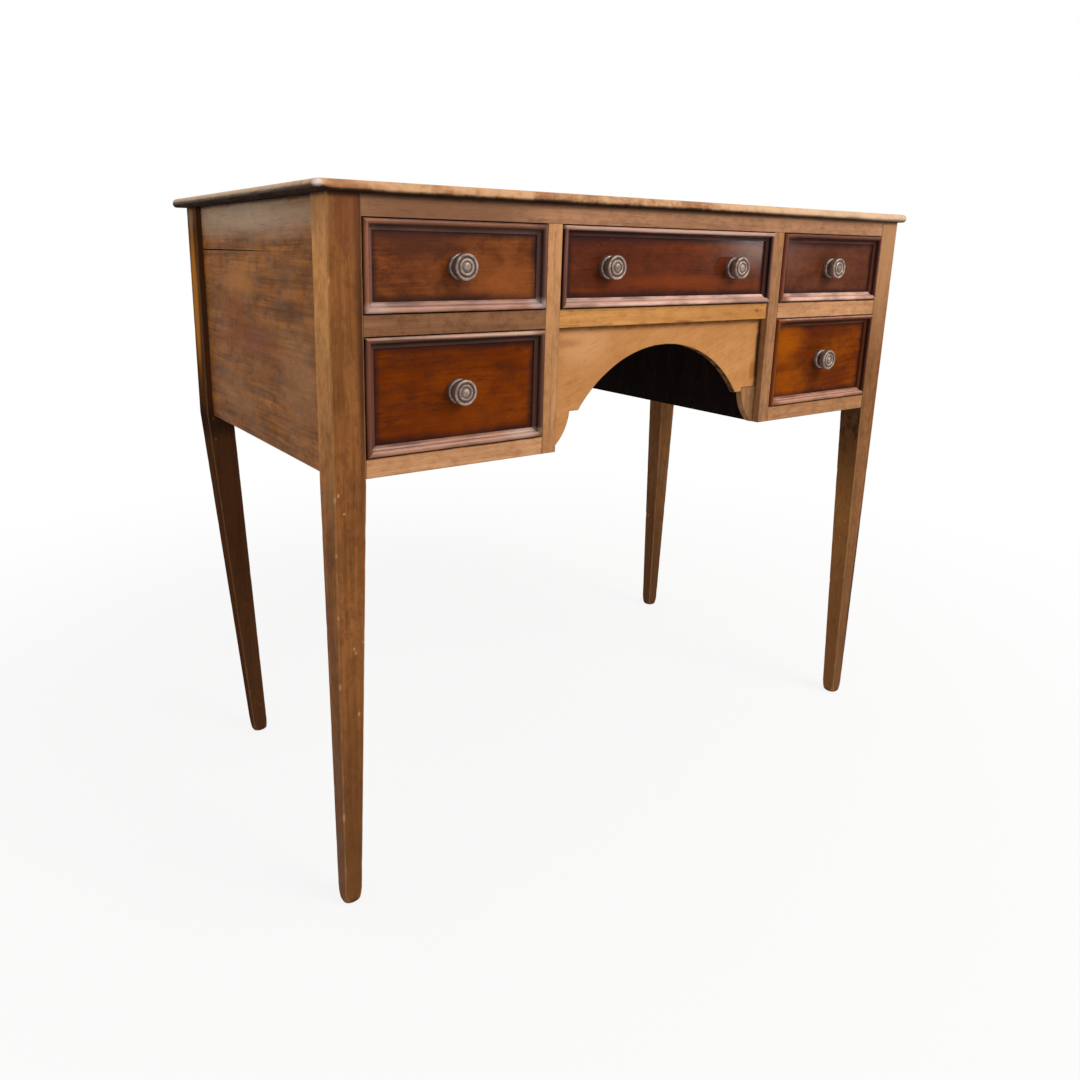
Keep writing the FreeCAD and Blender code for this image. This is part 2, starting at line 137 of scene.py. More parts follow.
def splitAxes(tree, vector):
    return addNode(tree, "ShaderNodeSeparateXYZ", {0: vector}).outputs


def joinAxes(tree, values):
    return addNode(tree, "ShaderNodeCombineXYZ", values).outputs[0]


def objectPlace(tree):
    return addNode(tree, "ShaderNodeTexCoord").outputs["Object"]


def facing(tree, direction):
    normal = addNode(tree, "ShaderNodeNewGeometry").outputs["True Normal"]
    return vectorCalc(tree, "DOT_PRODUCT", normal, direction)


def ramp(tree, value, low, high, toLow=0.0, toHigh=1.0):
    sockets = {"Value": value, "From Min": low, "From Max": high, "To Min": toLow, "To Max": toHigh}
    return addNode(tree, "ShaderNodeMapRange", sockets, interpolation_type="SMOOTHSTEP").outputs[0]


def blendTone(tree, share, first, second):
    return addNode(tree, "ShaderNodeMix", {0: share, 6: first, 7: second}, data_type="RGBA").outputs[2]


def grainNoise(tree, space, stretch, detail=4.0, roughness=0.6, output=0):
    scaled = vectorCalc(tree, "MULTIPLY", space, stretch)
    sockets = {"Vector": scaled, "Scale": 1.0, "Detail": detail, "Roughness": roughness}
    return addNode(tree, "ShaderNodeTexNoise", sockets).outputs[output]


def newMaterial(name):
    material = bpy.data.materials.new(name)
    material.use_nodes = True
    material.node_tree.nodes.clear()
    return material, material.node_tree


def endMaterial(tree, height, depth, values):
    relief = addNode(tree, "ShaderNodeBump", {"Height": height, "Strength": 1.0, "Distance": depth})
    shader = addNode(tree, "ShaderNodeBsdfPrincipled", {**values, "Normal": relief.outputs[0]})
    addNode(tree, "ShaderNodeOutputMaterial", {"Surface": shader.outputs[0]})


# Stage: pale floor that fades into a white surround, a wide soft light above the front, one at the right

stage = {
    "floorReach": 9.0,
    "floorTone": (0.78, 0.77, 0.76, 1),
    "floorShine": 0.85,  # how white the floor looks, so that only a soft shadow is left
    "fade": (0.5, 1.7),  # where the floor starts to fade, and where it is white
    "skyTone": (1.0, 0.98, 0.96, 1),
    "skyLight": 0.70,
    "white": (1, 1, 1, 1),
    "lampTone": (1.0, 0.97, 0.93),
    "lamps": {
        "keyLight": {"place": (0.9, -2.1, 2.3), "aim": (0, 0, 0.5), "size": 1.3, "power": 42},
        "windowLight": {"place": (1.56, -1.367, 0.74), "aim": (0.15, -0.22, 0.71), "size": 0.12,
                        "power": 1.7},
    },
}


def addSoftbox(name, lamp):
    data = bpy.data.lights.new(name, "AREA")
    data.shape = "SQUARE"
    data.size = lamp["size"]
    data.energy = lamp["power"]
    data.color = stage["lampTone"]
    softbox = bpy.data.objects.new(name, data)
    softbox.location = lamp["place"]
    ahead = Vector(lamp["aim"]) - Vector(lamp["place"])
    softbox.rotation_euler = ahead.to_track_quat("-Z", "Y").to_euler()
    scene.collection.objects.link(softbox)


# 1 for what the camera, gloss and glass see, 0 for what lights the object
def seenRays(tree):
    rays = addNode(tree, "ShaderNodeLightPath").outputs
    seen = calc(tree, "MAXIMUM", rays["Is Camera Ray"], rays["Is Glossy Ray"])
    return calc(tree, "MAXIMUM", seen, rays["Is Transmission Ray"])


def setStage():
    scene.view_settings.view_transform = "Standard"
    reach = stage["floorReach"]
    mesh = bpy.data.meshes.new("floor")
    corners = [(-reach, -reach, 0), (reach, -reach, 0), (reach, reach, 0), (-reach, reach, 0)]
    mesh.from_pydata(corners, [], [(0, 1, 2, 3)])
    floor = bpy.data.objects.new("floor", mesh)
    scene.collection.objects.link(floor)
    material, tree = newMaterial("paleFloor")
    matte = addNode(tree, "ShaderNodeBsdfDiffuse", {"Color": stage["floorTone"]}).outputs[0]
    white = addNode(tree, "ShaderNodeEmission", {"Color": stage["white"], "Strength": 1.0}).outputs[0]
    away = vectorCalc(tree, "LENGTH", objectPlace(tree))
    fade = ramp(tree, away, *stage["fade"], stage["floorShine"], 1.0)
    seen = calc(tree, "MULTIPLY", fade, seenRays(tree))
    mixed = addNode(tree, "ShaderNodeMixShader", {0: seen, 1: matte, 2: white})
    addNode(tree, "ShaderNodeOutputMaterial", {"Surface": mixed.outputs[0]})
    mesh.materials.append(material)

    world = bpy.data.worlds.new("studio")
    scene.world = world
    world.use_nodes = True
    tree = world.node_tree
    tree.nodes.clear()
    sky = {"Color": stage["skyTone"], "Strength": stage["skyLight"]}
    lit = addNode(tree, "ShaderNodeBackground", sky).outputs[0]
    shown = addNode(tree, "ShaderNodeBackground", {"Color": stage["white"], "Strength": 1.0}).outputs[0]
    mixed = addNode(tree, "ShaderNodeMixShader", {0: seenRays(tree), 1: lit, 2: shown})
    addNode(tree, "ShaderNodeOutputWorld", {"Surface": mixed.outputs[0]})
    for name, lamp in stage["lamps"].items():
        addSoftbox(name, lamp)


setStage()
print("stage set")


# Wood: every board is cut from a tree, so its grain runs through it and shows on all its faces.

plainWood = {
    "along": "x",  # the way the grain runs, or strip for a moulding's own length
    "turn": (0, 0, 0),  # tilt of the grain in degrees
    "shift": (0, 0, 0),  # moves the board within its tree
    "light": (206, 158, 112),
    "dark": (160, 112, 70),
    "heart": (0.05, 0.12),  # how far the tree's heart lies off the board, metres
    "rings": 120,  # growth rings in a metre
    "ringShare": 0.15,
    "ribbonShare": 0.4,
    "streakShare": 0.35,
    "fibreShare": 0.15,
    "blotch": (140, 95, 58),
    "blotchAmount": 0.35,
    "blotchScale": (4, 16, 16),
    "figure": (150, 90, 46),  # warmer figure across the grain
    "figureAmount": 0.0,
    "figureScale": (14, 40, 40),
    "waviness": 0.02,
    "mottle": 0.3,  # small dark and light clouds of old polish
    "scratchAmount": 0.12,
    "pore": (70, 40, 22),
    "poreAmount": 0.35,
    "worn": (215, 175, 130),
    "wornAmount": 0.6,
    "specks": 0.4,
    "rough": (0.5, 0.68),
    "gloss": 0.05,
    "coat": 0.0,
    "coatRough": 0.2,
    "bump": 0.00012,
    "spots": (),  # soft patches of another tone
    "chips": (),  # the same, laid over the wear: chips and nicks, and painted highlights
    "rim": None,  # old polish and painted shade gathered along the edges of a field
    "flanks": (),  # faces turned one way that take another tone, their own or painted light and shade
    "grime": (),  # lines of dirt and of painted shade at a level, as the painted shadow under the top
    "edgeGrimeAndShade": None,  # dirt and painted shade along the lower half of the top's edge
}

# Each layer of the grain: how often it changes in a metre along, across and through the board, how fine and
# how rough its noise is, and the values between which it comes to show
grain = {
    "warp": {"scale": (2.5, 7, 7), "detail": 2.0},
    "ribbon": {"scale": (2.2, 75, 75), "detail": 6.0, "rough": 0.65, "shows": (0.3, 0.7)},
    "streak": {"scale": (7, 260, 260), "detail": 3.0, "shows": (0.3, 0.7)},
    "fibre": {"scale": (28, 900, 900), "detail": 3.0, "shows": (0.3, 0.7)},
    "pore": {"scale": (34, 520, 520), "detail": 2.0, "shows": (0.58, 0.72)},
    "scratch": {"scale": (14, 420, 420), "detail": 2.0, "shows": (0.66, 0.74)},
    "patch": {"scale": (30, 45, 45), "detail": 3.0, "rough": 0.7, "shows": (0.36, 0.62)},
    "cloud": {"scale": (60, 95, 95), "detail": 5.0, "rough": 0.72, "shows": (0.42, 0.68)},
    "chip": {"scale": (60, 95, 95), "shows": (0.17, 0.06)},
    "chance": {"scale": (9, 20, 20), "detail": 1.0, "shows": (0.58, 0.68)},
    "blotch": {"detail": 4.0, "rough": 0.55, "shows": (0.42, 0.72)},
    "figure": {"detail": 3.0, "rough": 0.5, "shows": (0.36, 0.7)},
}

# How the layers act on one another
polish = {
    "alongRings": 0.06,  # how fast the rings change along the board, against across it
    "streakInFigure": 0.35,
    "ribbonInWaver": 0.6,
    "blotchInWaver": 0.5,
    "spotWaver": 0.9,
    "spotEdge": (1.45, 0.7),
    "flankClouds": (0.65, 0.35, 0.6, 1.0),
    "leastRubbed": 0.15,
    "wornRough": 0.12,
    "roughPatches": (0.3, 0.7),
    "dusty": (0.1, 0.5),  # faces that look down are dull
    "relief": {"fibre": 0.6, "pore": -0.7, "speck": -1.5},
}


# A soft patch of another tone, used for stains, nicks and figure, and for painted light and shade
def markAndPaintedLight(at, reach, colour, amount):
    return {"at": at, "reach": reach, "tone": colour, "amount": amount}


# Faces turned towards a direction that take another tone, their own or painted light and shade, between two
# levels or all the way
def facingToneAndPaintedLight(direction, colour, amount, between=(0.3, 0.8), levels=None):
    return {"facing": direction, "tone": colour, "amount": amount, "between": between, "levels": levels}


def grainSpace(tree, look):
    if look["along"] == "strip":
        return addNode(tree, "ShaderNodeAttribute", attribute_name="grainSpace").outputs["Vector"]
    parts = splitAxes(tree, objectPlace(tree))
    order = {"x": "XYZ", "y": "YXZ", "z": "ZXY"}[look["along"]]
    space = joinAxes(tree, {k: parts[axis] for k, axis in enumerate(order)})
    turn = tuple(math.radians(angle) for angle in look["turn"])
    placed = {"Vector": space, "Location": look["shift"], "Rotation": turn}
    return addNode(tree, "ShaderNodeMapping", placed).outputs[0]


def overlay(tree, share, colour, layer):
    return blendTone(tree, share, colour, tone(*layer["tone"]))


# A soft round patch, 1 inside and 0 outside, with a broken edge
def spotMask(tree, spot, waver):
    away = vectorCalc(tree, "SUBTRACT", objectPlace(tree), spot["at"])
    far = vectorCalc(tree, "LENGTH", vectorCalc(tree, "DIVIDE", away, spot["reach"]))
    far = calc(tree, "ADD", far, calc(tree, "MULTIPLY", waver, polish["spotWaver"]))
    return ramp(tree, far, *polish["spotEdge"], 0.0, spot["amount"])


# How near a point is to the edges of a flat field in X and Z
def rimMask(tree, rim, waver):
    parts = splitAxes(tree, objectPlace(tree))
    gaps = []
    for axis, middle, half in zip("XZ", rim["middle"], rim["half"]):
        gaps.append(calc(tree, "SUBTRACT", half, apart(tree, parts[axis], middle)))
    nearest = calc(tree, "SMOOTH_MIN", gaps[0], gaps[1], rim["width"])
    drift = calc(tree, "MULTIPLY", calc(tree, "SUBTRACT", waver, 0.5), rim["width"])
    return ramp(tree, calc(tree, "ADD", nearest, drift), rim["width"], 0.0, 0.0, rim["amount"])


def flankMask(tree, flank, cloud):
    share = ramp(tree, facing(tree, flank["facing"]), *flank["between"], 0.0, flank["amount"])
    share = calc(tree, "MULTIPLY", share, ramp(tree, cloud, *polish["flankClouds"]))
    if flank["levels"]:
        level = splitAxes(tree, objectPlace(tree))["Z"]
        share = calc(tree, "MULTIPLY", share, ramp(tree, level, *flank["levels"]))
    return share


# A band along a level, used for dirt and for painted shade.
def grimeAndShadeMask(tree, grime, cloud):
    off = apart(tree, grime["level"], splitAxes(tree, objectPlace(tree))["Z"])
    off = calc(tree, "MULTIPLY_ADD", calc(tree, "SUBTRACT", cloud, 0.5), grime["width"], off)
    return ramp(tree, off, grime["width"], 0.0, 0.0, grime["amount"])


# Dirt and painted shade below a line along the top's edge, which drops from one level to another along X
def edgeMask(tree, grime, arris):
    parts = splitAxes(tree, objectPlace(tree))
    line = ramp(tree, parts["X"], *grime["from"], *grime["levels"])
    dirt = ramp(tree, calc(tree, "SUBTRACT", line, parts["Z"]), *grime["soft"], 0.0, grime["amount"])
    return calc(tree, "MULTIPLY", dirt, arris)


# A moulding's tones: a rubbed nose with painted shade on its sides, painted shade in the quirk and down the
# strip's outer side, and a paler strip along the bottom, worn and with a painted highlight
def stripTones(tree, look, space, mixture, blotch, colour):
    parts = splitAxes(tree, space)
    width = moulding["noseWidth"]
    nose = blendTone(tree, mixture, look["noseDark"], look["noseLight"])
    offCore = apart(tree, parts["Y"], width * moulding["noseCore"])
    fromCore, toEdge = moulding["noseShade"]
    offCore = ramp(tree, offCore, width * fromCore, width * toEdge, 0.0, moulding["edgeAmount"])
    nose = blendTone(tree, offCore, nose, look["creaseTone"])
    onNose = ramp(tree, parts["Y"], width + moulding["noseSoft"], width - moulding["noseSoft"])
    colour = blendTone(tree, onNose, colour, nose)
    isBottom = calc(tree, "LESS_THAN", calc(tree, "ABSOLUTE", parts["X"]), moulding["stripStep"] / 2)
    pale = ramp(tree, blotch, *moulding["bottomShows"], *moulding["bottomAmounts"])
    colour = blendTone(tree, calc(tree, "MULTIPLY", isBottom, pale), colour, look["bottomTone"])
    offQuirk = apart(tree, parts["Y"], width + moulding["quirk"] / 2)
    quirk = ramp(tree, offQuirk, *moulding["quirkReach"], 0.0, moulding["creaseAmount"])
    quirk = calc(tree, "MULTIPLY", quirk, ramp(tree, isBottom, 0.0, 1.0, 1.0, moulding["bottomQuirk"]))
    side = ramp(tree, parts["Z"], *moulding["sideHeights"], 0.0, moulding["creaseAmount"])
    side = calc(tree, "MULTIPLY", side, ramp(tree, parts["Y"], *moulding["sideWidths"]))
    return blendTone(tree, calc(tree, "MAXIMUM", quirk, side), colour, look["creaseTone"])


woodTones = ("light", "dark", "blotch", "figure", "pore", "worn",
             "noseLight", "noseDark", "bottomTone", "creaseTone")


def grainLayer(tree, space, name, scale=None):
    layer = grain[name]
    return grainNoise(tree, space, scale or layer["scale"], layer["detail"], layer.get("rough", 0.6))


def shown(tree, value, name, least=0.0, most=1.0):
    return ramp(tree, value, *grain[name]["shows"], least, most)


# Sets the patches, one after another, over a colour
def overlaySpots(tree, spots, waver, colour):
    for spot in spots:
        colour = overlay(tree, spotMask(tree, spot, waver), colour, spot)
    return colour


def woodFinish(name, changes):
    look = {**plainWood, **changes}
    look.update({part: tone(*look[part]) for part in woodTones if part in look})
    material, tree = newMaterial(name)
    space = grainSpace(tree, look)
    warp = grainNoise(tree, space, grain["warp"]["scale"], grain["warp"]["detail"], output="Color")
    drift = vectorCalc(tree, "SUBTRACT", warp, (0.5, 0.5, 0.5))
    bent = vectorCalc(tree, "MULTIPLY_ADD", drift, (look["waviness"],) * 3, space)
    ribbon, streak, fibre = [grainLayer(tree, bent, part) for part in ("ribbon", "streak", "fibre")]
    patch, cloud, chance = [grainLayer(tree, space, part) for part in ("patch", "cloud", "chance")]
    blotch = grainLayer(tree, space, "blotch", look["blotchScale"])
    figure = grainLayer(tree, bent, "figure", look["figureScale"])
    figure = calc(tree, "MULTIPLY_ADD", calc(tree, "SUBTRACT", streak, 0.5), polish["streakInFigure"], figure)
    scratch = grainLayer(tree, vectorCalc(tree, "ADD", space, warp), "scratch")
    pore = shown(tree, grainLayer(tree, bent, "pore"), "pore")

    fromHeart = vectorCalc(tree, "MULTIPLY_ADD", bent, (polish["alongRings"], 1, 1), (0, *look["heart"]))
    turns = calc(tree, "MULTIPLY", vectorCalc(tree, "LENGTH", fromHeart), look["rings"] * 2 * math.pi)
    ring = calc(tree, "MULTIPLY_ADD", calc(tree, "SINE", turns), 0.5, 0.5)
    mixture = calc(tree, "MULTIPLY", shown(tree, ribbon, "ribbon"), look["ribbonShare"])
    mixture = calc(tree, "MULTIPLY_ADD", shown(tree, streak, "streak"), look["streakShare"], mixture)
    mixture = calc(tree, "MULTIPLY_ADD", shown(tree, fibre, "fibre"), look["fibreShare"], mixture)
    mixture = calc(tree, "MULTIPLY_ADD", ring, look["ringShare"], mixture)
    colour = blendTone(tree, mixture, look["dark"], look["light"])
    for part, value, amount, over in (("blotch", blotch, "blotchAmount", "blotch"),
                                      ("figure", figure, "figureAmount", "figure"),
                                      ("scratch", scratch, "scratchAmount", "worn"),
                                      ("cloud", cloud, "mottle", "blotch")):
        colour = blendTone(tree, shown(tree, value, part, 0.0, look[amount]), colour, look[over])
    if look["along"] == "strip":
        colour = stripTones(tree, look, space, mixture, blotch, colour)
    if look["rim"]:
        colour = overlay(tree, rimMask(tree, look["rim"], patch), colour, look["rim"])
    for flank in look["flanks"]:
        colour = overlay(tree, flankMask(tree, flank, cloud), colour, flank)
    waver = calc(tree, "MULTIPLY", blotch, polish["blotchInWaver"])
    waver = calc(tree, "MULTIPLY_ADD", ribbon, polish["ribbonInWaver"], waver)
    colour = overlaySpots(tree, look["spots"], waver, colour)
    colour = blendTone(tree, calc(tree, "MULTIPLY", pore, look["poreAmount"]), colour, look["pore"])
    for grime in look["grime"]:
        colour = overlay(tree, grimeAndShadeMask(tree, grime, cloud), colour, grime)

    arris = addNode(tree, "ShaderNodeAttribute", attribute_name="arris").outputs["Fac"]
    rubbed = shown(tree, patch, "patch", polish["leastRubbed"], look["wornAmount"])
    cells = {"Vector": vectorCalc(tree, "MULTIPLY", space, grain["chip"]["scale"]), "Scale": 1.0}
    chipped = addNode(tree, "ShaderNodeTexVoronoi", cells).outputs["Distance"]
    chipped = shown(tree, chipped, "chip", 0.0, look["specks"])
    speck = calc(tree, "MULTIPLY", chipped, shown(tree, chance, "chance"))
    worn = calc(tree, "MAXIMUM", calc(tree, "MULTIPLY", arris, rubbed), speck)
    colour = blendTone(tree, worn, colour, look["worn"])
    if look["edgeGrimeAndShade"]:
        colour = overlay(tree, edgeMask(tree, look["edgeGrimeAndShade"], arris), colour, look["edgeGrimeAndShade"])
    colour = overlaySpots(tree, look["chips"], waver, colour)

    rough = ramp(tree, patch, *polish["roughPatches"], *look["rough"])
    rough = calc(tree, "MULTIPLY_ADD", worn, polish["wornRough"], rough)
    dusty = ramp(tree, facing(tree, (0, 0, -1)), *polish["dusty"])
    height = ribbon
    for part, value in (("fibre", fibre), ("pore", pore), ("speck", speck)):
        height = calc(tree, "MULTIPLY_ADD", value, polish["relief"][part], height)
    endMaterial(tree, height, look["bump"], {
        "Base Color": colour, "Roughness": calc(tree, "MAXIMUM", rough, dusty),
        "Specular IOR Level": look["gloss"], "Coat Weight": look["coat"], "Coat Roughness": look["coatRough"],
    })
    return material


# Mesh helpers

arrises = {"segments": 3, "sharpest": math.radians(25), "flat": math.radians(0.5), "weld": 1e-6}


def camel(node):
    first, *rest = node.split("_")
    return first + "".join(word.capitalize() for word in rest)


# Shows a finished mesh in the place of a CAD node
def addPiece(node, mesh, body):
    piece = bpy.data.objects.new(camel(node), mesh)
    scene.collection.objects.link(piece)
    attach(piece, body)
    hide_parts(node)


def standFor(node, bm, material, smoothAngle=None):
    mesh = bpy.data.meshes.new(camel(node))
    bm.normal_update()
    bm.to_mesh(mesh)
    bm.free()
    mesh.materials.append(material)
    if smoothAngle:
        mesh.shade_smooth()
        mesh.set_sharp_from_angle(angle=math.radians(smoothAngle))
    source = nodes[node]
    addPiece(node, mesh, source["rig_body"])


def tidyMesh(bm):
    bmesh.ops.remove_doubles(bm, verts=bm.verts, dist=arrises["weld"])
    bmesh.ops.dissolve_limit(bm, angle_limit=arrises["flat"], verts=bm.verts, edges=bm.edges)


# Rounds the outer arrises over and marks the rounded faces for wear
def easeArrises(bm, width):
    arris = bm.faces.layers.float.new("arris")
    for face in bm.faces:
        turns = [e.calc_face_angle(0) for e in face.edges]
        face.smooth = any(arrises["flat"] < turn < arrises["sharpest"] for turn in turns)
    edges = [e for e in bm.edges
             if e.is_manifold and e.is_convex and e.calc_face_angle() > arrises["sharpest"]]
    result = bmesh.ops.bevel(bm, geom=edges, offset=width, offset_type="OFFSET", segments=arrises["segments"],
                             profile=0.5, affect="EDGES", clamp_overlap=True)
    for face in result["faces"]:
        face[arris] = 1.0
        face.smooth = True


def easedBoard(node, material, width):
    bm = bmesh.new()
    bm.from_mesh(nodes[node].data)
    tidyMesh(bm)
    easeArrises(bm, width)
    standFor(node, bm, material)


# Joins equal rings of points into a closed skin. Returns the rows of side faces.
def loft(bm, rings):
    rows = [[bm.verts.new(point) for point in ring] for ring in rings]
    count = len(rows[0])
    sides = []
    for lower, upper in zip(rows, rows[1:]):
        quads = []
        for k in range(count):
            after = (k + 1) % count
            quads.append(bm.faces.new((lower[k], lower[after], upper[after], upper[k])))
        sides.append(quads)
    bm.faces.new(reversed(rows[0]))
    bm.faces.new(rows[-1])
    return sides


def wobble(place, scale, seed):
    return noise.noise(Vector(place) * scale + Vector((seed, 2 * seed, 3 * seed)))


def quarterTurn(steps):
    return [math.pi / 2 * k / steps for k in range(steps + 1)]


# Painted shadow where the case meets the underside of the top.
shadowUnderTop = {"level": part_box("tabletop")[0].z, "width": 5 * mm, "tone": (46, 28, 20), "amount": 0.85}


# Tabletop: a thin board, thumb-moulded at the front and both ends, with its edge worn

tabletop = {
    "cornerRadius": 8 * mm,
    "leastCorner": 0.3 * mm,
    "upperRound": 6 * mm,
    "lowerRound": 4.6 * mm,
    "backEase": 0.7 * mm,
    "arcSteps": 6,
    "cornerSteps": 8,
    "spacing": 6 * mm,
    "capMargin": 3 * mm,
    "dent": 0.9 * mm,
    "dentScale": 38,
    "dentSeed": 4.0,
    "dentFrom": 0.25,  # only the deepest part of the noise leaves a dent
    "dentBand": 12 * mm,
    "backBand": 2 * mm,  # the back edge has no dents
    "backWearBand": 3 * mm,  # and little wear
    "backWear": 0.2,
    "smoothAngle": 40,
    "look": {
        "light": (176, 114, 69), "dark": (102, 59, 33), "rings": 70, "heart": (0.04, 0.02), "mottle": 0.15,
        "ringShare": 0.2, "blotch": (98, 56, 34), "blotchAmount": 0.25, "worn": (210, 164, 122),
        "wornAmount": 0.95, "rough": (0.35, 0.5), "gloss": 0.08, "specks": 0.3,
        "edgeGrimeAndShade": {  # dirt and painted shade on the edge's lower half, higher on the left edge than on the front one
            "from": (-0.4585, -0.44), "levels": (shadowUnderTop["level"] + 6.2 * mm, shadowUnderTop["level"] + 2.5 * mm),
            "soft": (-2 * mm, 1.5 * mm), "tone": (34, 19, 10), "amount": 0.96,
        },
        # The front left corner worn to a pale chip with a painted highlight on it, a paler band along the
        # front edge, and a painted highlight along the upper round of the left edge.
        "chips": (markAndPaintedLight((-0.457, -0.231, 0.757), (0.0095, 0.0095, 0.0062), (246, 230, 224), 0.9),
                  markAndPaintedLight((0.42, -0.233, 0.758), (0.5, 0.03, 0.012), (224, 198, 168), 0.5),
                  markAndPaintedLight((-0.459, 0.0, 0.76), (0.009, 0.5, 0.0075), (238, 208, 172), 0.58)),
        # Faces that look down are painted near black, as painted shade under the top.
        "flanks": (facingToneAndPaintedLight((0, 0, -1), (18, 11, 8), 1.0, (0.1, 0.5)),) * 2,
    },
}


def topProfile(low, high):
    under, over = tabletop["lowerRound"], tabletop["upperRound"]
    turns = quarterTurn(tabletop["arcSteps"])
    profile = [(under + tabletop["capMargin"], low.z)]
    profile += [(under * (1 - math.sin(turn)), low.z + under * (1 - math.cos(turn))) for turn in turns]
    profile += [(over * (1 - math.cos(turn)), high.z - over * (1 - math.sin(turn))) for turn in turns]
    return profile + [(over + tabletop["capMargin"], high.z)]


# The outline of the top, drawn in from its edges
def topPlan(low, high, inset, backInset):
    left, right, front, back = low.x + inset, high.x - inset, low.y + inset, high.y - backInset
    corner = max(tabletop["cornerRadius"] - inset, tabletop["leastCorner"])
    across = int((high.x - low.x) / tabletop["spacing"])
    deep = int((high.y - low.y) / tabletop["spacing"])
    turns = quarterTurn(tabletop["cornerSteps"])[:-1]
    points = [(left, back + (front + corner - back) * k / deep) for k in range(deep)]
    points += [(left + corner * (1 - math.cos(turn)), front + corner * (1 - math.sin(turn)))
               for turn in turns]
    points += [(left + corner + (right - left - 2 * corner) * k / across, front) for k in range(across)]
    points += [(right - corner * (1 - math.sin(turn)), front + corner * (1 - math.cos(turn)))
               for turn in turns]
    points += [(right, front + corner + (back - front - corner) * k / deep) for k in range(deep)]
    return points + [(right + (left - right) * k / across, back) for k in range(across)]


def makeTabletop():
    low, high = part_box("tabletop")
    profile = topProfile(low, high)
    band = tabletop["dentBand"]
    rings = []
    for place, (inset, z) in enumerate(profile):
        margin = tabletop["capMargin"] if place in (0, len(profile) - 1) else 0
        ring = []
        for x, y in topPlan(low, high, inset, min(inset, tabletop["backEase"]) + margin):
            deep = wobble((x, y, z * 2), tabletop["dentScale"], tabletop["dentSeed"]) - tabletop["dentFrom"]
            dent = max(0.0, deep) * tabletop["dent"]
            if margin or y > high.y - tabletop["backBand"]:
                dent = 0.0
            inward = Vector((-x / high.x if abs(x) > high.x - band else 0, 1.0 if y < low.y + band else 0, 0))
            ring.append(Vector((x, y, z)) + inward * dent)
        rings.append(ring)
    bm = bmesh.new()
    arris = bm.faces.layers.float.new("arris")
    sides = loft(bm, rings)
    for row in sides[1:-1]:
        for face in row:
            isBack = face.calc_center_median().y >= high.y - tabletop["backWearBand"]
            face[arris] = tabletop["backWear"] if isBack else 1.0
    standFor("tabletop", bm, woodFinish("topWood", tabletop["look"]), tabletop["smoothAngle"])


makeTabletop()
print("tabletop made")


# Legs: square posts down to the case, then tapered on the two inner faces, with rubbed arrises and feet

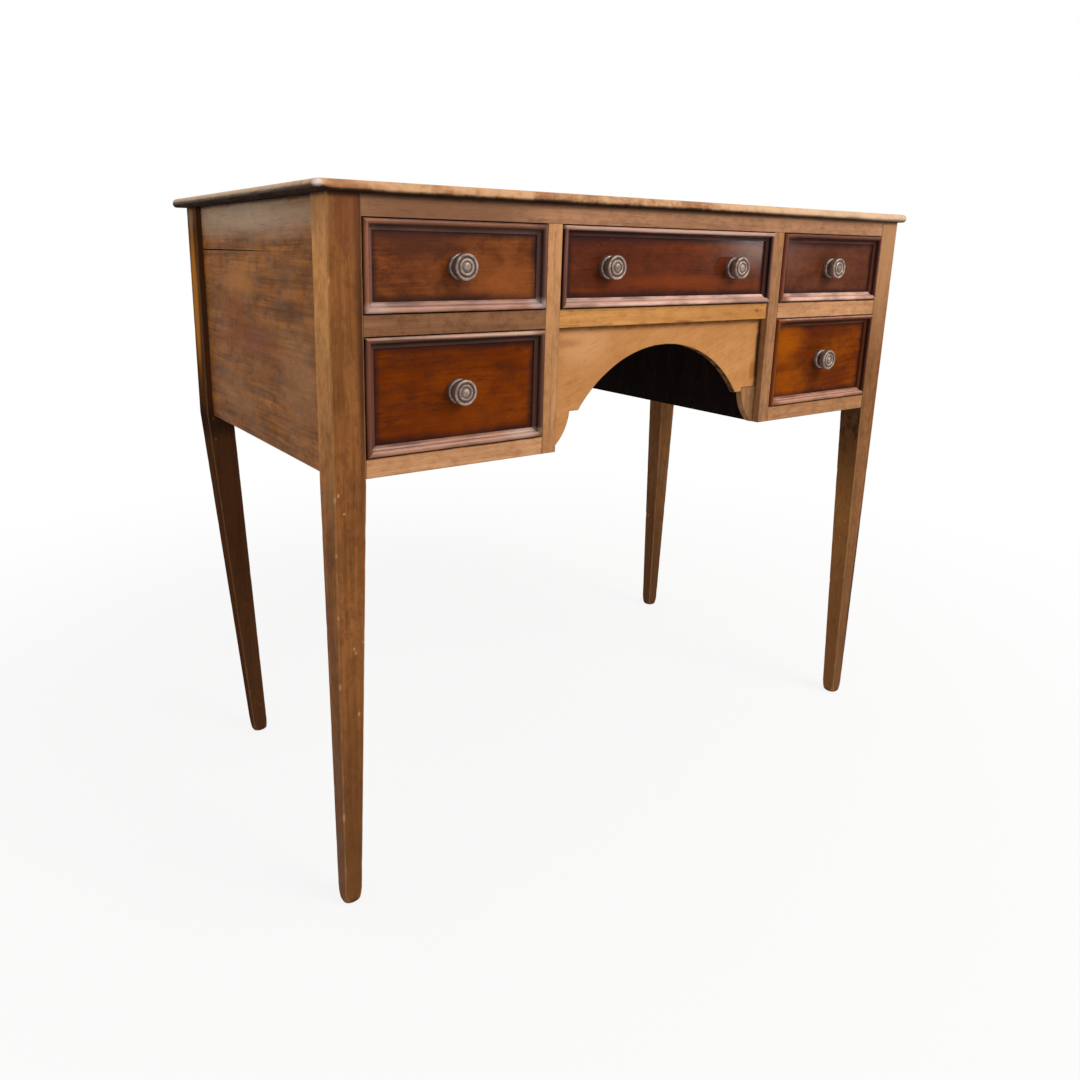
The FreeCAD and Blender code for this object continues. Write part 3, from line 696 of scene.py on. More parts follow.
legs = {
    "postSize": 35 * mm,
    "footSize": 19.5 * mm,
    "footRound": 3 * mm,
    "footSteps": (0, 0.1, 0.3, 0.6, 1),
    "footWear": 6.5 * mm,
    "footReach": 17 * mm,
    "caseBottom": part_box("bottom_rail_left")[0].z,
    "ringStep": 7 * mm,
    "arris": 1.3 * mm,
    "arrisWear": 2.0 * mm,
    "arrisSteps": 4,
    "margin": 3.2 * mm,
    "leastFlat": 0.3 * mm,
    "wearScale": 55,
    "seed": 10.0,
    "seedStep": 7,
    "smoothAngle": 35,
    "look": {
        # The painted shadow under the top, and a dark band at the foot.
        "grime": (shadowUnderTop, {"level": 0.0, "width": 7 * mm, "tone": (38, 25, 18), "amount": 0.9}),
        "along": "z", "light": (164, 106, 57), "dark": (108, 65, 31), "blotch": (86, 50, 26), "mottle": 0.5,
        "worn": (186, 144, 100), "wornAmount": 0.34, "heart": (0.09, 0.14), "specks": 0.75,
        "blotchScale": (9, 34, 34), "blotchAmount": 0.5, "scratchAmount": 0.2,
    },
    "nick": {"width": 2.2 * mm, "tone": (196, 152, 106), "amount": 0.6},
    "nicks": (  # where a nick is on the front left leg, and how tall
        (-0.4452, -0.2242, 0.671, 0.006), (-0.4452, -0.2242, 0.463, 0.005), (-0.4452, -0.2242, 0.406, 0.004),
        (-0.4452, -0.2242, 0.264, 0.006), (-0.4452, -0.2242, 0.111, 0.008), (-0.436, -0.225, 0.448, 0.002),
        (-0.425, -0.225, 0.228, 0.004), (-0.4452, -0.2242, 0.34, 0.004),
    ),
    "looks": {
        "leg_front_left": {
            "flanks": (facingToneAndPaintedLight((-1, 0, 0), (222, 158, 92), 0.92, (0.75, 0.98), (0.36, 0.74)),),
            # Darker towards the floor, partly from the polish and partly painted shade; a painted shadow down
            # the front's right edge, beside the drawers.
            "spots": (markAndPaintedLight((-0.43, -0.21, 0.0), (0.3, 0.3, 0.42), (98, 61, 32), 0.7),
                      markAndPaintedLight((-0.446, -0.208, 0.75), (0.012, 0.05, 0.07), (150, 104, 70), 0.45),
                      markAndPaintedLight((-0.42, -0.225, 0.745), (0.03, 0.03, 0.07), (112, 64, 42), 0.6),
                      markAndPaintedLight((-0.411, -0.225, 0.62), (0.011, 0.03, 0.22), (66, 38, 24), 0.8)),
        },
        "leg_front_right": {
            "light": (150, 102, 62), "dark": (112, 72, 40), "shift": (0.7, 0.2, 0.1),
            # The inner left face is painted lighter, as painted light, and painted dark just under the case,
            # as its shadow.
            "flanks": (facingToneAndPaintedLight((-1, 0, 0), (150, 100, 53), 0.9),
                       facingToneAndPaintedLight((-1, 0, 0), (46, 28, 16), 0.95, levels=(0.3, 0.46))),
            # Darker towards the floor, partly from the polish and partly painted shade; painted shade down
            # the front's right edge.
            "spots": (markAndPaintedLight((0.43, -0.21, 0.76), (0.3, 0.3, 0.24), (176, 130, 90), 0.8),
                      markAndPaintedLight((0.43, -0.21, 0.0), (0.3, 0.3, 0.4), (104, 68, 38), 0.6),
                      markAndPaintedLight((0.446, -0.225, 0.2), (0.008, 0.03, 0.24), (62, 40, 24), 0.8)),
        },
        "leg_rear_left": {
            # The whole leg is painted darker, as painted shade under the table; its outer left face keeps
            # lighter tones; a painted shadow under the side panel's bottom edge.
            "light": (84, 54, 34), "dark": (56, 34, 20), "shift": (1.4, 0.4, 0.3), "gloss": 0.0,
            "wornAmount": 0.12, "specks": 0.25,
            "spots": (markAndPaintedLight((-0.446, 0.205, 0.64), (0.1, 0.02, 0.14), (184, 118, 52), 0.9),
                      markAndPaintedLight((-0.446, 0.205, 0.74), (0.1, 0.02, 0.03), (150, 122, 96), 0.7),
                      markAndPaintedLight((-0.43, 0.2, 0.47), (0.3, 0.3, 0.03), (38, 25, 19), 0.7)),
        },
        "leg_rear_right": {
            "light": (128, 88, 50), "dark": (90, 58, 32), "shift": (2.1, 0.1, 0.6),
            # Darker towards the floor, partly from the polish and partly painted shade.
            "spots": (markAndPaintedLight((0.43, 0.2, 0.0), (0.3, 0.3, 0.25), (80, 50, 28), 0.7),),
        },
    },
}
for x, y, z, tall in legs["nicks"]:
    reach = (legs["nick"]["width"], legs["nick"]["width"], tall)
    nick = markAndPaintedLight((x, y, z), reach, legs["nick"]["tone"], legs["nick"]["amount"])
    legs["looks"]["leg_front_left"].setdefault("chips", []).append(nick)
footMounts = {mount["name"]: mount["pos_m"] for mount in frame["record"]["mounts"]}

# Each corner of a square section, and the ways along the face before it and the face after it
sectionCorners = (((0, 0), (0, 1), (1, 0)), ((1, 0), (-1, 0), (0, 1)),
                  ((1, 1), (0, -1), (-1, 0)), ((0, 1), (1, 0), (0, -1)))


def legSection(corner, inward, size, z, extraRound, seed):
    points = []
    for k, (spot, before, after) in enumerate(sectionCorners):
        wear = max(0.0, wobble((spot[0] * 3, spot[1] * 3, z), legs["wearScale"], seed + k) + 0.1)
        radius = legs["arris"] + legs["arrisWear"] * wear ** 2 + extraRound
        faceMargin = max(legs["margin"], radius + legs["leastFlat"])
        vertex, before, after = Vector(spot) * size, Vector(before), Vector(after)
        centre = vertex + (before + after) * radius
        points.append(vertex + before * faceMargin)
        for turn in quarterTurn(legs["arrisSteps"]):
            points.append(centre - after * radius * math.cos(turn) - before * radius * math.sin(turn))
        points.append(vertex + after * faceMargin)
    return [Vector((corner.x + inward.x * p.x, corner.y + inward.y * p.y, z)) for p in points]


def evenLevels(low, high):
    count = int((high - low) / legs["ringStep"])
    return [low + (high - low) * k / count for k in range(count + 1)]


def makeLeg(node, seed):
    low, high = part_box(node)
    outer = Vector((low.x if low.x < 0 else high.x, low.y if low.y < 0 else high.y))
    inward = Vector((1 if low.x < 0 else -1, 1 if low.y < 0 else -1))
    footMiddle = Vector(footMounts[node.replace("leg", "foot")][:2])
    footCorner = footMiddle - inward * legs["footSize"] / 2
    levels = [legs["footRound"] * share for share in legs["footSteps"]] + [legs["footReach"] / 2]
    levels += evenLevels(legs["footReach"], legs["caseBottom"])
    levels += evenLevels(legs["caseBottom"], high.z)[1:]
    rings = []
    for z in levels:
        up = min(z / legs["caseBottom"], 1.0)
        size = legs["footSize"] + (legs["postSize"] - legs["footSize"]) * up
        foot = max(0.0, 1 - z / legs["footRound"])
        inset = legs["footRound"] * (1 - math.sqrt(max(0.0, 1 - foot ** 2)))
        corner = outer.lerp(footCorner, 1 - up) + inward * inset
        worn = legs["footWear"] * max(0.0, 1 - z / legs["footReach"]) ** 2
        rings.append(legSection(corner, inward, size - 2 * inset, z, worn, seed))
    bm = bmesh.new()
    arris = bm.faces.layers.float.new("arris")
    sides = loft(bm, rings)
    if inward.x * inward.y < 0:
        bmesh.ops.reverse_faces(bm, faces=bm.faces)
    perCorner = legs["arrisSteps"] + 3
    for row in sides:
        for k, face in enumerate(row):
            if 0 < k % perCorner <= legs["arrisSteps"]:
                face[arris] = 1.0
    look = {**legs["look"], **legs["looks"][node]}
    standFor(node, bm, woodFinish(camel(node) + "Wood", look), legs["smoothAngle"])


for number, node in enumerate(legs["looks"]):
    makeLeg(node, legs["seed"] + legs["seedStep"] * number)
print("legs made")


# Side panels: two boards each. The left one's joint has opened towards the back.

panels = {
    "ease": 0.6 * mm,
    "gap": 1.5 * mm,
    "gapFrom": -50 * mm,
    "gapHeight": 3 * mm,  # how much of the upper board's edge lifts
    "stations": 24,
    "look": {
        # The painted shadow under the top.
        "grime": (shadowUnderTop,), "along": "y", "light": (196, 126, 62), "dark": (82, 49, 25),
        "rings": 60, "ringShare": 0.05, "worn": (174, 124, 80), "wornAmount": 0.5,
        "blotch": (74, 44, 26), "blotchAmount": 0.6, "blotchScale": (7, 34, 34),
        "figure": (156, 98, 48), "figureAmount": 0.5, "figureScale": (9, 26, 26), "scratchAmount": 0.45,
        "specks": 0.3, "rough": (0.45, 0.62), "poreAmount": 0.28, "mottle": 0.52,
    },
    "right": {"shift": (0.9, 0.3, 0.2)},
    "left": {"spots": [markAndPaintedLight((-0.438, y, z), (0.1, long, high), colour, amount)
                       for y, z, long, high, colour, amount in (
        # A pale band along the top as a painted sheen, then patches of another tone.
        (0.02, 0.735, 0.35, 0.035, (200, 176, 150), 0.62),
        (0.05, 0.663, 0.09, 0.03, (186, 120, 56), 0.75),
        (0.08, 0.63, 0.1, 0.022, (138, 74, 32), 0.5),
        (-0.1, 0.635, 0.08, 0.018, (84, 53, 33), 0.65),
        (0.02, 0.595, 0.14, 0.035, (126, 64, 24), 0.62),
        (0.08, 0.53, 0.14, 0.035, (140, 98, 62), 0.45),
        (-0.13, 0.56, 0.09, 0.09, (160, 116, 80), 0.45),
        # Painted shade beside the rear leg and at the panel's lower back corner, then the dark joint between
        # the boards.
        (0.192, 0.62, 0.012, 0.25, (44, 28, 20), 0.7),
        (0.2, 0.485, 0.03, 0.02, (40, 26, 20), 0.8),
        (0.09, 0.696, 0.17, 0.0016, (44, 27, 18), 0.8),
    )]},
}


# One board of a panel, above or below the joint between them
def panelBoard(node, seam, isUpper):
    bm = bmesh.new()
    bm.from_mesh(nodes[node].data)
    other = []
    for face in bm.faces:
        z = face.calc_center_median().z
        above = face.normal.z < 0 if abs(z - seam) < 0.01 * mm else z > seam
        if above != isUpper:
            other.append(face)
    bmesh.ops.delete(bm, geom=other, context="FACES")
    tidyMesh(bm)
    easeArrises(bm, panels["ease"])
    return bm


# Lifts the upper board's lower edge, more and more towards the back
def openJoint(bm, seam, front, rear):
    for k in range(1, panels["stations"]):
        y = front + (rear - front) * k / panels["stations"]
        whole = bm.verts[:] + bm.edges[:] + bm.faces[:]
        bmesh.ops.bisect_plane(bm, geom=whole, plane_co=(0, y, 0), plane_no=(0, 1, 0))
    for vert in bm.verts:
        if vert.co.z < seam + panels["gapHeight"]:
            share = max(0.0, (vert.co.y - panels["gapFrom"]) / (rear - panels["gapFrom"]))
            vert.co.z += panels["gap"] * share ** 0.5


def makePanel(side):
    node = f"side_panel_{side}"
    low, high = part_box(node)
    levels = [v.co.z for v in nodes[node].data.vertices if low.z + mm < v.co.z < high.z - mm]
    seam = sorted(levels)[len(levels) // 2]
    upper = panelBoard(node, seam, True)
    if side == "left":
        openJoint(upper, seam, low.y, high.y)
    whole = panelBoard(node, seam, False)
    spare = bpy.data.meshes.new("upperBoard")
    upper.to_mesh(spare)
    upper.free()
    whole.from_mesh(spare)
    bpy.data.meshes.remove(spare)
    standFor(node, whole, woodFinish(camel(node) + "Wood", {**panels["look"], **panels[side]}))


for side in ("left", "right"):
    makePanel(side)
print("side panels made")


# Front frame, apron and the boards behind them

# Painted shadow cast by the middle rail onto the apron below it.
shadowUnderRail = {"level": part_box("mid_rail_center")[0].z, "width": 8 * mm, "tone": (92, 58, 32), "amount": 0.9}
boards = {
    "ease": 0.7 * mm,
    # Every board gets the painted shadow under the top.
    "common": {"worn": (110, 74, 48), "wornAmount": 0.85, "grime": (shadowUnderTop,), "mottle": 0.5},
    "topRail": {"light": (192, 142, 106), "dark": (146, 103, 75), "blotch": (116, 80, 56),
                "spots": (markAndPaintedLight((-0.32, -0.224, 0.74), (0.16, 0.1, 0.1), (124, 86, 62), 0.85),)},
    "shaded": {"light": (152, 107, 74), "dark": (106, 71, 47), "blotch": (80, 52, 34),
               "shift": (1.3, 0.2, 0.3)},
    "frame": {"light": (210, 157, 114), "dark": (166, 117, 78), "blotch": (142, 96, 62)},
    "lowRail": {"light": (190, 140, 98), "dark": (148, 102, 68), "blotch": (122, 80, 50),
                "shift": (0.8, 0.1, 0.4)},
    "stile": {"light": (206, 152, 104), "dark": (158, 110, 70), "along": "z", "blotch": (136, 92, 58)},
    "rightStile": {"light": (178, 129, 90), "dark": (134, 93, 62), "along": "z", "shift": (0.4, 0.2, 0),
                   "blotch": (108, 72, 46),
                   # A painted shadow in the gap beside the apron.
                   "spots": (markAndPaintedLight((0.1745, -0.21, 0.56), (0.004, 0.01, 0.14), (34, 21, 14), 0.95),)},
    "honey": {"light": (212, 154, 90), "dark": (174, 118, 64), "blotch": (160, 104, 52),
              "shift": (0.3, 0.5, 0.1),
              "spots": (markAndPaintedLight((0.155, -0.224, 0.63), (0.008, 0.03, 0.005), (140, 78, 30), 0.8),
                        markAndPaintedLight((0.02, -0.224, 0.62), (0.03, 0.03, 0.003), (130, 80, 36), 0.7))},
    "apron": {"light": (198, 141, 86), "dark": (180, 125, 73), "turn": (0, 20, 0), "blotch": (168, 112, 64),
              # These keys include the painted shadow under the middle rail.
              "blotchScale": (9, 22, 22), "ringShare": 0.05, "poreAmount": 0.2, "grime": (shadowUnderRail,),
              # The arch's inner edge is painted dark, as painted shade.
              "flanks": (facingToneAndPaintedLight((-0.7, 0, -0.7), (34, 22, 16), 1.0, (0.2, 0.5)),),
              "spots": (markAndPaintedLight((0.165, -0.214, 0.55), (0.007, 0.03, 0.022), (156, 92, 44), 0.7),
                        # A painted shadow in the gap beside the right stile.
                        markAndPaintedLight((0.174, -0.214, 0.575), (0.008, 0.03, 0.1), (40, 24, 15), 0.95),
                        markAndPaintedLight((-0.13, -0.214, 0.6), (0.06, 0.03, 0.05), (212, 164, 116), 0.4),
                        markAndPaintedLight((-0.16, -0.214, 0.6), (0.04, 0.03, 0.008), (150, 96, 52), 0.5))},
    "bracket": {"light": (168, 124, 86), "dark": (130, 92, 60), "along": "z", "blotch": (110, 76, 48)},
    # Near black: dark unpolished wood, and painted shade inside the kneehole.
    "inside": {"light": (30, 19, 16), "dark": (15, 9, 8), "along": "z", "blotch": (10, 6, 6),
               "blotchAmount": 0.6, "worn": (60, 44, 34), "wornAmount": 0.2, "specks": 0.1,
               "rough": (0.7, 0.85), "gloss": 0.05},
    "back": {"light": (134, 100, 66), "dark": (94, 68, 44), "rough": (0.6, 0.75),
             # Its face towards the front is painted near black, as painted shade inside the kneehole.
             "flanks": (facingToneAndPaintedLight((0, -1, 0), (20, 12, 10), 1.0),)},
    "carcass": {"light": (120, 88, 58), "dark": (84, 58, 36), "along": "y", "rough": (0.65, 0.8),
                "gloss": 0.05, "wornAmount": 0.2},
}
boardLooks = {
    "top_rail": "topRail", "mid_rail_left": "shaded", "mid_rail_right": "frame", "mid_rail_center": "honey",
    "bottom_rail_left": "frame", "bottom_rail_right": "lowRail", "divider_left": "stile",
    "divider_right": "rightStile", "arched_apron": "apron", "apron_bracket_right": "bracket",
    "partition_left": "inside", "partition_right": "inside", "back_panel": "back",
}
boardWood = {}
for name in sorted(set(boardLooks.values()) | {"carcass"}):
    boardWood[name] = woodFinish(name + "Wood", {**boards["common"], **boards[name]})
for node, look in boardLooks.items():
    easedBoard(node, boardWood[look], boards["ease"])
for node in ("drawer_runners", "drawer_guides", "kickers", "drawer_stops"):
    nodes[node].material_slots[0].material = boardWood["carcass"]
print("frame, apron and inner boards made")


# Drawers: varnished fronts, plain linings

# How far forward a patch lies on a drawer's face, its moulding or the moulding's nose, and how deep it goes;
# the patches are stains and painted light and shade
frontDepth = {"face": -0.219, "strip": -0.226, "nose": -0.227, "reach": 0.03}


# Each row gives the middle of a patch in X and Z, its reach in X and Z, its colour and how strong it is; the
# patches are stains and painted light and shade.
def frontMarksAndPaintedLight(part, rows):
    depth, reach = frontDepth[part], frontDepth["reach"]
    return [markAndPaintedLight((x, depth, z), (long, reach, high), colour, amount)
            for x, z, long, high, colour, amount in rows]


drawers = {
    "names": ("upper_left", "lower_left", "center", "upper_right", "lower_right"),
    "ease": 0.35 * mm,
    "singleNut": 40 * mm,  # nuts that span less than this are one
    # Old polish and painted shade along the field's edges, beside the moulding.
    "rim": {"bead": 10.5 * mm, "width": 9 * mm, "tone": (38, 23, 25), "amount": 0.85},
    # Grime and a painted shadow at the lower left of each knob.
    "knobGrimeAndShade": {"reach": 20 * mm, "aside": 3 * mm, "down": 4 * mm, "tone": (48, 24, 18), "amount": 0.6},
    "face": {
        "light": (128, 69, 34), "dark": (86, 43, 21), "streakShare": 0.08, "fibreShare": 0.08, "mottle": 0.6,
        "blotch": (68, 32, 18), "blotchAmount": 0.55, "blotchScale": (24, 34, 34), "figure": (152, 84, 36),
        "figureAmount": 0.5, "figureScale": (14, 20, 20), "rings": 45, "pore": (38, 16, 10),
        "poreAmount": 0.3, "worn": (170, 100, 60), "wornAmount": 0.2, "specks": 0.12, "rough": (0.3, 0.42),
        "scratchAmount": 0.06, "gloss": 0.0, "coat": 0.1, "coatRough": 0.14, "bump": 0.00004, "spots": (),
        "flanks": [facingToneAndPaintedLight((0, 1, 0), (158, 116, 76), 0.95)]
        + [facingToneAndPaintedLight(way, (116, 72, 44), 0.9) for way in ((0, 0, 1), (1, 0, 0), (-1, 0, 0))],
    },
    "faces": {
        "upper_left": {
            "shift": (0.1, 0, 0),
            "spots": frontMarksAndPaintedLight("face", [
                (-0.24, 0.668, 0.07, 0.03, (148, 82, 38), 0.4),
                (-0.35, 0.708, 0.09, 0.025, (76, 41, 30), 0.7),
            ]),
        },
        "lower_left": {
            "light": (126, 54, 6), "dark": (86, 33, 4), "shift": (0.6, 0.1, 0.2), "figure": (142, 66, 6),
            "coat": 0.03,
            "spots": frontMarksAndPaintedLight("face", [
                (-0.33, 0.596, 0.1, 0.022, (84, 36, 12), 0.45),
                (-0.29, 0.53, 0.1, 0.026, (132, 60, 8), 0.3),
            ]),
        },
        "center": {
            "light": (112, 52, 24), "dark": (78, 34, 17), "shift": (1.2, 0.2, 0.4), "figure": (132, 58, 18),
            "figureAmount": 0.4, "figureScale": (6, 40, 40),
            "spots": frontMarksAndPaintedLight("face", [
                (0.0, 0.668, 0.14, 0.013, (140, 62, 20), 0.45),
                (-0.1, 0.712, 0.12, 0.018, (66, 32, 25), 0.6),
            ]),
        },
        "upper_right": {
            "light": (110, 60, 40), "dark": (82, 43, 29), "shift": (1.9, 0.3, 0.3), "figureAmount": 0.1,
        },
        "lower_right": {
            "light": (134, 60, 6), "dark": (84, 32, 5), "shift": (2.6, 0.5, 0.1), "figure": (156, 78, 5),
            "figureAmount": 0.5, "figureScale": (12, 16, 16), "waviness": 0.05, "coat": 0.03,
            "spots": frontMarksAndPaintedLight("face", [
                (0.325, 0.598, 0.085, 0.022, (82, 34, 12), 0.75),
                (0.222, 0.582, 0.06, 0.042, (178, 92, 4), 0.55),
                (0.24, 0.528, 0.06, 0.03, (160, 78, 5), 0.4),
                (0.262, 0.566, 0.05, 0.009, (96, 40, 10), 0.6),
                (0.222, 0.551, 0.06, 0.008, (112, 50, 8), 0.55),
                (0.345, 0.53, 0.03, 0.03, (96, 40, 12), 0.6),
            ]),
        },
    },
    "lining": {"light": (190, 152, 106), "dark": (146, 110, 72), "rough": (0.62, 0.78), "gloss": 0.2,
               "wornAmount": 0.3, "specks": 0.2},
}


def knobPlaces(name):
    low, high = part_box(f"{name}_drawer_nuts")
    middle = (low + high) / 2
    if high.x - low.x < drawers["singleNut"]:
        return [middle]
    half = (high.z - low.z) / 2
    return [Vector((low.x + half, middle.y, middle.z)), Vector((high.x - half, middle.y, middle.z))]


def makeDrawer(name):
    front = f"{name}_drawer_front"
    low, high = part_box(front)
    middle = (low + high) / 2
    half = (high - low) / 2
    rim, grime = drawers["rim"], drawers["knobGrimeAndShade"]
    look = {**drawers["face"], **drawers["faces"][name]}
    field = (half.x - rim["bead"], half.z - rim["bead"])
    look["rim"] = {**rim, "middle": (middle.x, middle.z), "half": field}
    look["spots"] = list(look["spots"])
    for place in knobPlaces(name):
        at = (place.x - grime["aside"], low.y, place.z - grime["down"])
        look["spots"].append(markAndPaintedLight(at, (grime["reach"],) * 3, grime["tone"], grime["amount"]))
    easedBoard(front, woodFinish(camel(name) + "FrontWood", look), drawers["ease"])
    for part, along in (("sides", "y"), ("back", "x"), ("bottom", "x")):
        node = f"{name}_drawer_{part}"
        lining = {**drawers["lining"], "along": along, "shift": (middle.x * 3, middle.z, 0)}
        easedBoard(node, woodFinish(camel(node) + "Wood", lining), drawers["ease"])


for name in drawers["names"]:
    makeDrawer(name)
print("drawers made")


# Geometry Nodes helpers

grownSmoothAngle = math.radians(38)


def newTree(name, sockets):
    tree = bpy.data.node_groups.new(name, "GeometryNodeTree")
    tree.interface.new_socket("Geometry", in_out="INPUT", socket_type="NodeSocketGeometry")
    for socket, kind in sockets.items():
        tree.interface.new_socket(socket, in_out="INPUT", socket_type="NodeSocket" + kind)
    tree.interface.new_socket("Geometry", in_out="OUTPUT", socket_type="NodeSocketGeometry")
    return tree, addNode(tree, "NodeGroupInput").outputs


# One step of a tree, which gives its first output
def geometryStep(tree, kind, values=None, **settings):
    return addNode(tree, "GeometryNode" + kind, values, **settings).outputs[0]


def keepVector(tree, geometry, name, vector):
    kept = {"Geometry": geometry, "Name": name, "Value": vector}
    return geometryStep(tree, "StoreNamedAttribute", kept, data_type="FLOAT_VECTOR", domain="POINT")


def profileShape(tree, sockets):
    return addNode(tree, "GeometryNodeObjectInfo", {"Object": sockets["Profile"]}).outputs["Geometry"]


def endTree(tree, geometry, material):
    whole = geometryStep(tree, "RealizeInstances", {"Geometry": geometry})
    finished = geometryStep(tree, "SetMaterial", {"Geometry": whole, "Material": material})
    addNode(tree, "NodeGroupOutput", {"Geometry": finished})


def growMesh(name, tree, values, points=()):
    seedMesh = bpy.data.meshes.new(name)
    seedMesh.from_pydata(points, [], [])
    grower = bpy.data.objects.new(name, seedMesh)
    scene.collection.objects.link(grower)
    modifier = grower.modifiers.new("grow", "NODES")
    modifier.node_group = tree
    for item in tree.interface.items_tree:
        if item.in_out == "INPUT" and item.name in values:
            modifier[item.identifier] = values[item.name]
    depsgraph = bpy.context.evaluated_depsgraph_get()
    mesh = bpy.data.meshes.new_from_object(grower.evaluated_get(depsgraph), depsgraph=depsgraph)
    bpy.data.objects.remove(grower)
    bm = bmesh.new()
    bm.from_mesh(mesh)
    bmesh.ops.remove_doubles(bm, verts=bm.verts, dist=arrises["weld"])
    bmesh.ops.recalc_face_normals(bm, faces=bm.faces)
    bm.to_mesh(mesh)
    bm.free()
    mesh.shade_smooth()
    mesh.set_sharp_from_angle(angle=grownSmoothAngle)
    return mesh


# A profile drawn as an open or closed line of points in X and Y
def profileCurve(name, points, closed):
    curve = bpy.data.curves.new(name, "CURVE")
    curve.dimensions = "3D"
    line = curve.splines.new("POLY")
    line.points.add(len(points) - 1)
    for point, (x, y) in zip(line.points, points):
        point.co = (x, y, 0, 1)
    line.use_cyclic_u = closed
    return bpy.data.objects.new(name, curve)


def arc(x, y, radius, start, end, steps):
    points = []
    for k in range(steps + 1):
        turn = math.radians(start + (end - start) * k / steps)
        points.append((x + radius * math.cos(turn), y + radius * math.sin(turn)))
    return points


# Moulding: four mitred strips round each drawer, a nose along the outer edge and a cove down to the field

moulding = {
    "width": 10.5 * mm,
    "height": 8 * mm,
    "noseWidth": 6.0 * mm,
    "noseSteps": 10,
    "coveSteps": 8,
    "quirk": 0.5 * mm,
    "lip": 1.5 * mm,
    "spacing": 5 * mm,
    "waver": 0.35 * mm,
    "waverScale": 70.0,
    "look": {
        # creaseTone is the painted shade in the quirk, beside the nose and down the strip's outer side.
        "along": "strip", "light": (70, 40, 34), "dark": (46, 26, 24), "blotch": (34, 20, 22),
        "blotchScale": (14, 60, 60), "creaseTone": (20, 11, 11), "topAmount": 0.85, "rings": 200,
        "rough": (0.28, 0.42), "gloss": 0.14, "coat": 0.06, "specks": 0.3, "worn": (176, 126, 100),
    },
    # Faces that look up are paler, from dust and wear and with a painted highlight; faces that look down are
    # darker, as painted shade.
    "upperTone": (200, 156, 138),
    "upperBetween": (0.25, 0.7),
    "underTone": (36, 20, 17),
    "underAmount": 0.45,
    "rows": {
        "upper_left": {
            "light": (94, 68, 66), "dark": (60, 43, 45), "noseLight": (164, 105, 74),
            "noseDark": (98, 58, 40), "bottomTone": (182, 134, 116), "topAmount": 0.4,
            "spots": frontMarksAndPaintedLight("strip", [
                # The left strip is painted lighter and the right strip darker, as painted light and shade
                # from the right; the top strip is toned down; painted reflections at both ends of the bottom
                # strip.
                (-0.408, 0.684, 0.02, 0.09, (160, 98, 68), 0.35),
                (-0.197, 0.69, 0.024, 0.1, (72, 45, 40), 0.75),
                (-0.29, 0.7235, 0.17, 0.008, (98, 58, 36), 0.5),
                (-0.398, 0.6445, 0.024, 0.009, (204, 184, 174), 0.38),
                (-0.206, 0.6455, 0.02, 0.009, (206, 190, 186), 0.4),
            ]),
        },
        "lower_left": {
            "light": (84, 49, 37), "dark": (52, 30, 24), "noseLight": (124, 76, 54), "noseDark": (62, 36, 28),
            "bottomTone": (172, 124, 100),
            # A painted highlight along the top strip's nose.
            "spots": frontMarksAndPaintedLight("nose", [(-0.24, 0.6162, 0.16, 0.0034, (208, 170, 146), 0.75)])
            + frontMarksAndPaintedLight("strip", [
                # The left strip is painted lighter and the right strip darker, as painted light and shade
                # from the right; a painted highlight on the bottom strip.
                (-0.406, 0.56, 0.014, 0.1, (120, 66, 45), 0.5),
                (-0.197, 0.56, 0.022, 0.1, (72, 38, 27), 0.75),
                (-0.222, 0.507, 0.034, 0.008, (208, 184, 168), 0.5),
            ]),
        },
        "center": {
            "light": (82, 44, 38), "dark": (52, 28, 26), "noseLight": (148, 94, 74), "noseDark": (72, 42, 35),
            "bottomTone": (228, 186, 168), "gloss": 0.09,
            # A painted highlight along the top strip's nose.
            "spots": frontMarksAndPaintedLight("nose", [(0.03, 0.7262, 0.36, 0.0042, (208, 168, 152), 0.75)]),
        },
        "upper_right": {
            "light": (98, 52, 37), "dark": (72, 37, 27), "noseLight": (104, 58, 42), "noseDark": (74, 39, 29),
            "bottomTone": (228, 184, 164), "gloss": 0.05, "coat": 0.02, "creaseTone": (52, 26, 20),
            "topAmount": 0.3,
            "spots": frontMarksAndPaintedLight("strip", [(0.199, 0.684, 0.022, 0.12, (118, 66, 46), 0.85)]),
        },
        "lower_right": {
            "light": (100, 48, 14), "dark": (68, 31, 12), "noseLight": (108, 54, 22),
            "noseDark": (72, 35, 17), "bottomTone": (174, 124, 96), "gloss": 0.05, "coat": 0.02,
            "creaseTone": (44, 20, 12),
            "spots": frontMarksAndPaintedLight("strip", [(0.199, 0.556, 0.022, 0.14, (122, 60, 18), 0.8)]),
        },
    },
    "bottomShows": (0.66, 0.36),
    "bottomAmounts": (0.3, 0.95),
    "bottomQuirk": 0.25,  # how much of the quirk's painted shade is left along the bottom
    "noseCore": 0.45,  # the nose's rubbed line and the painted shade beside it, as shares of its width
    "noseShade": (0.14, 0.44),
    "noseSoft": 0.3 * mm,
    "edgeAmount": 0.75,
    "creaseAmount": 0.9,
    "quirkReach": (0.8 * mm, 0.3 * mm),
    "sideHeights": (7.2 * mm, 5.2 * mm),  # where painted shade on a strip's outer side starts and is full
    "sideWidths": (2.2 * mm, 1.2 * mm),
    "stripStep": 1.7,  # metres between the strips in their own grain, the bottom one first
    "turns": (0, 90, 180, -90),
}


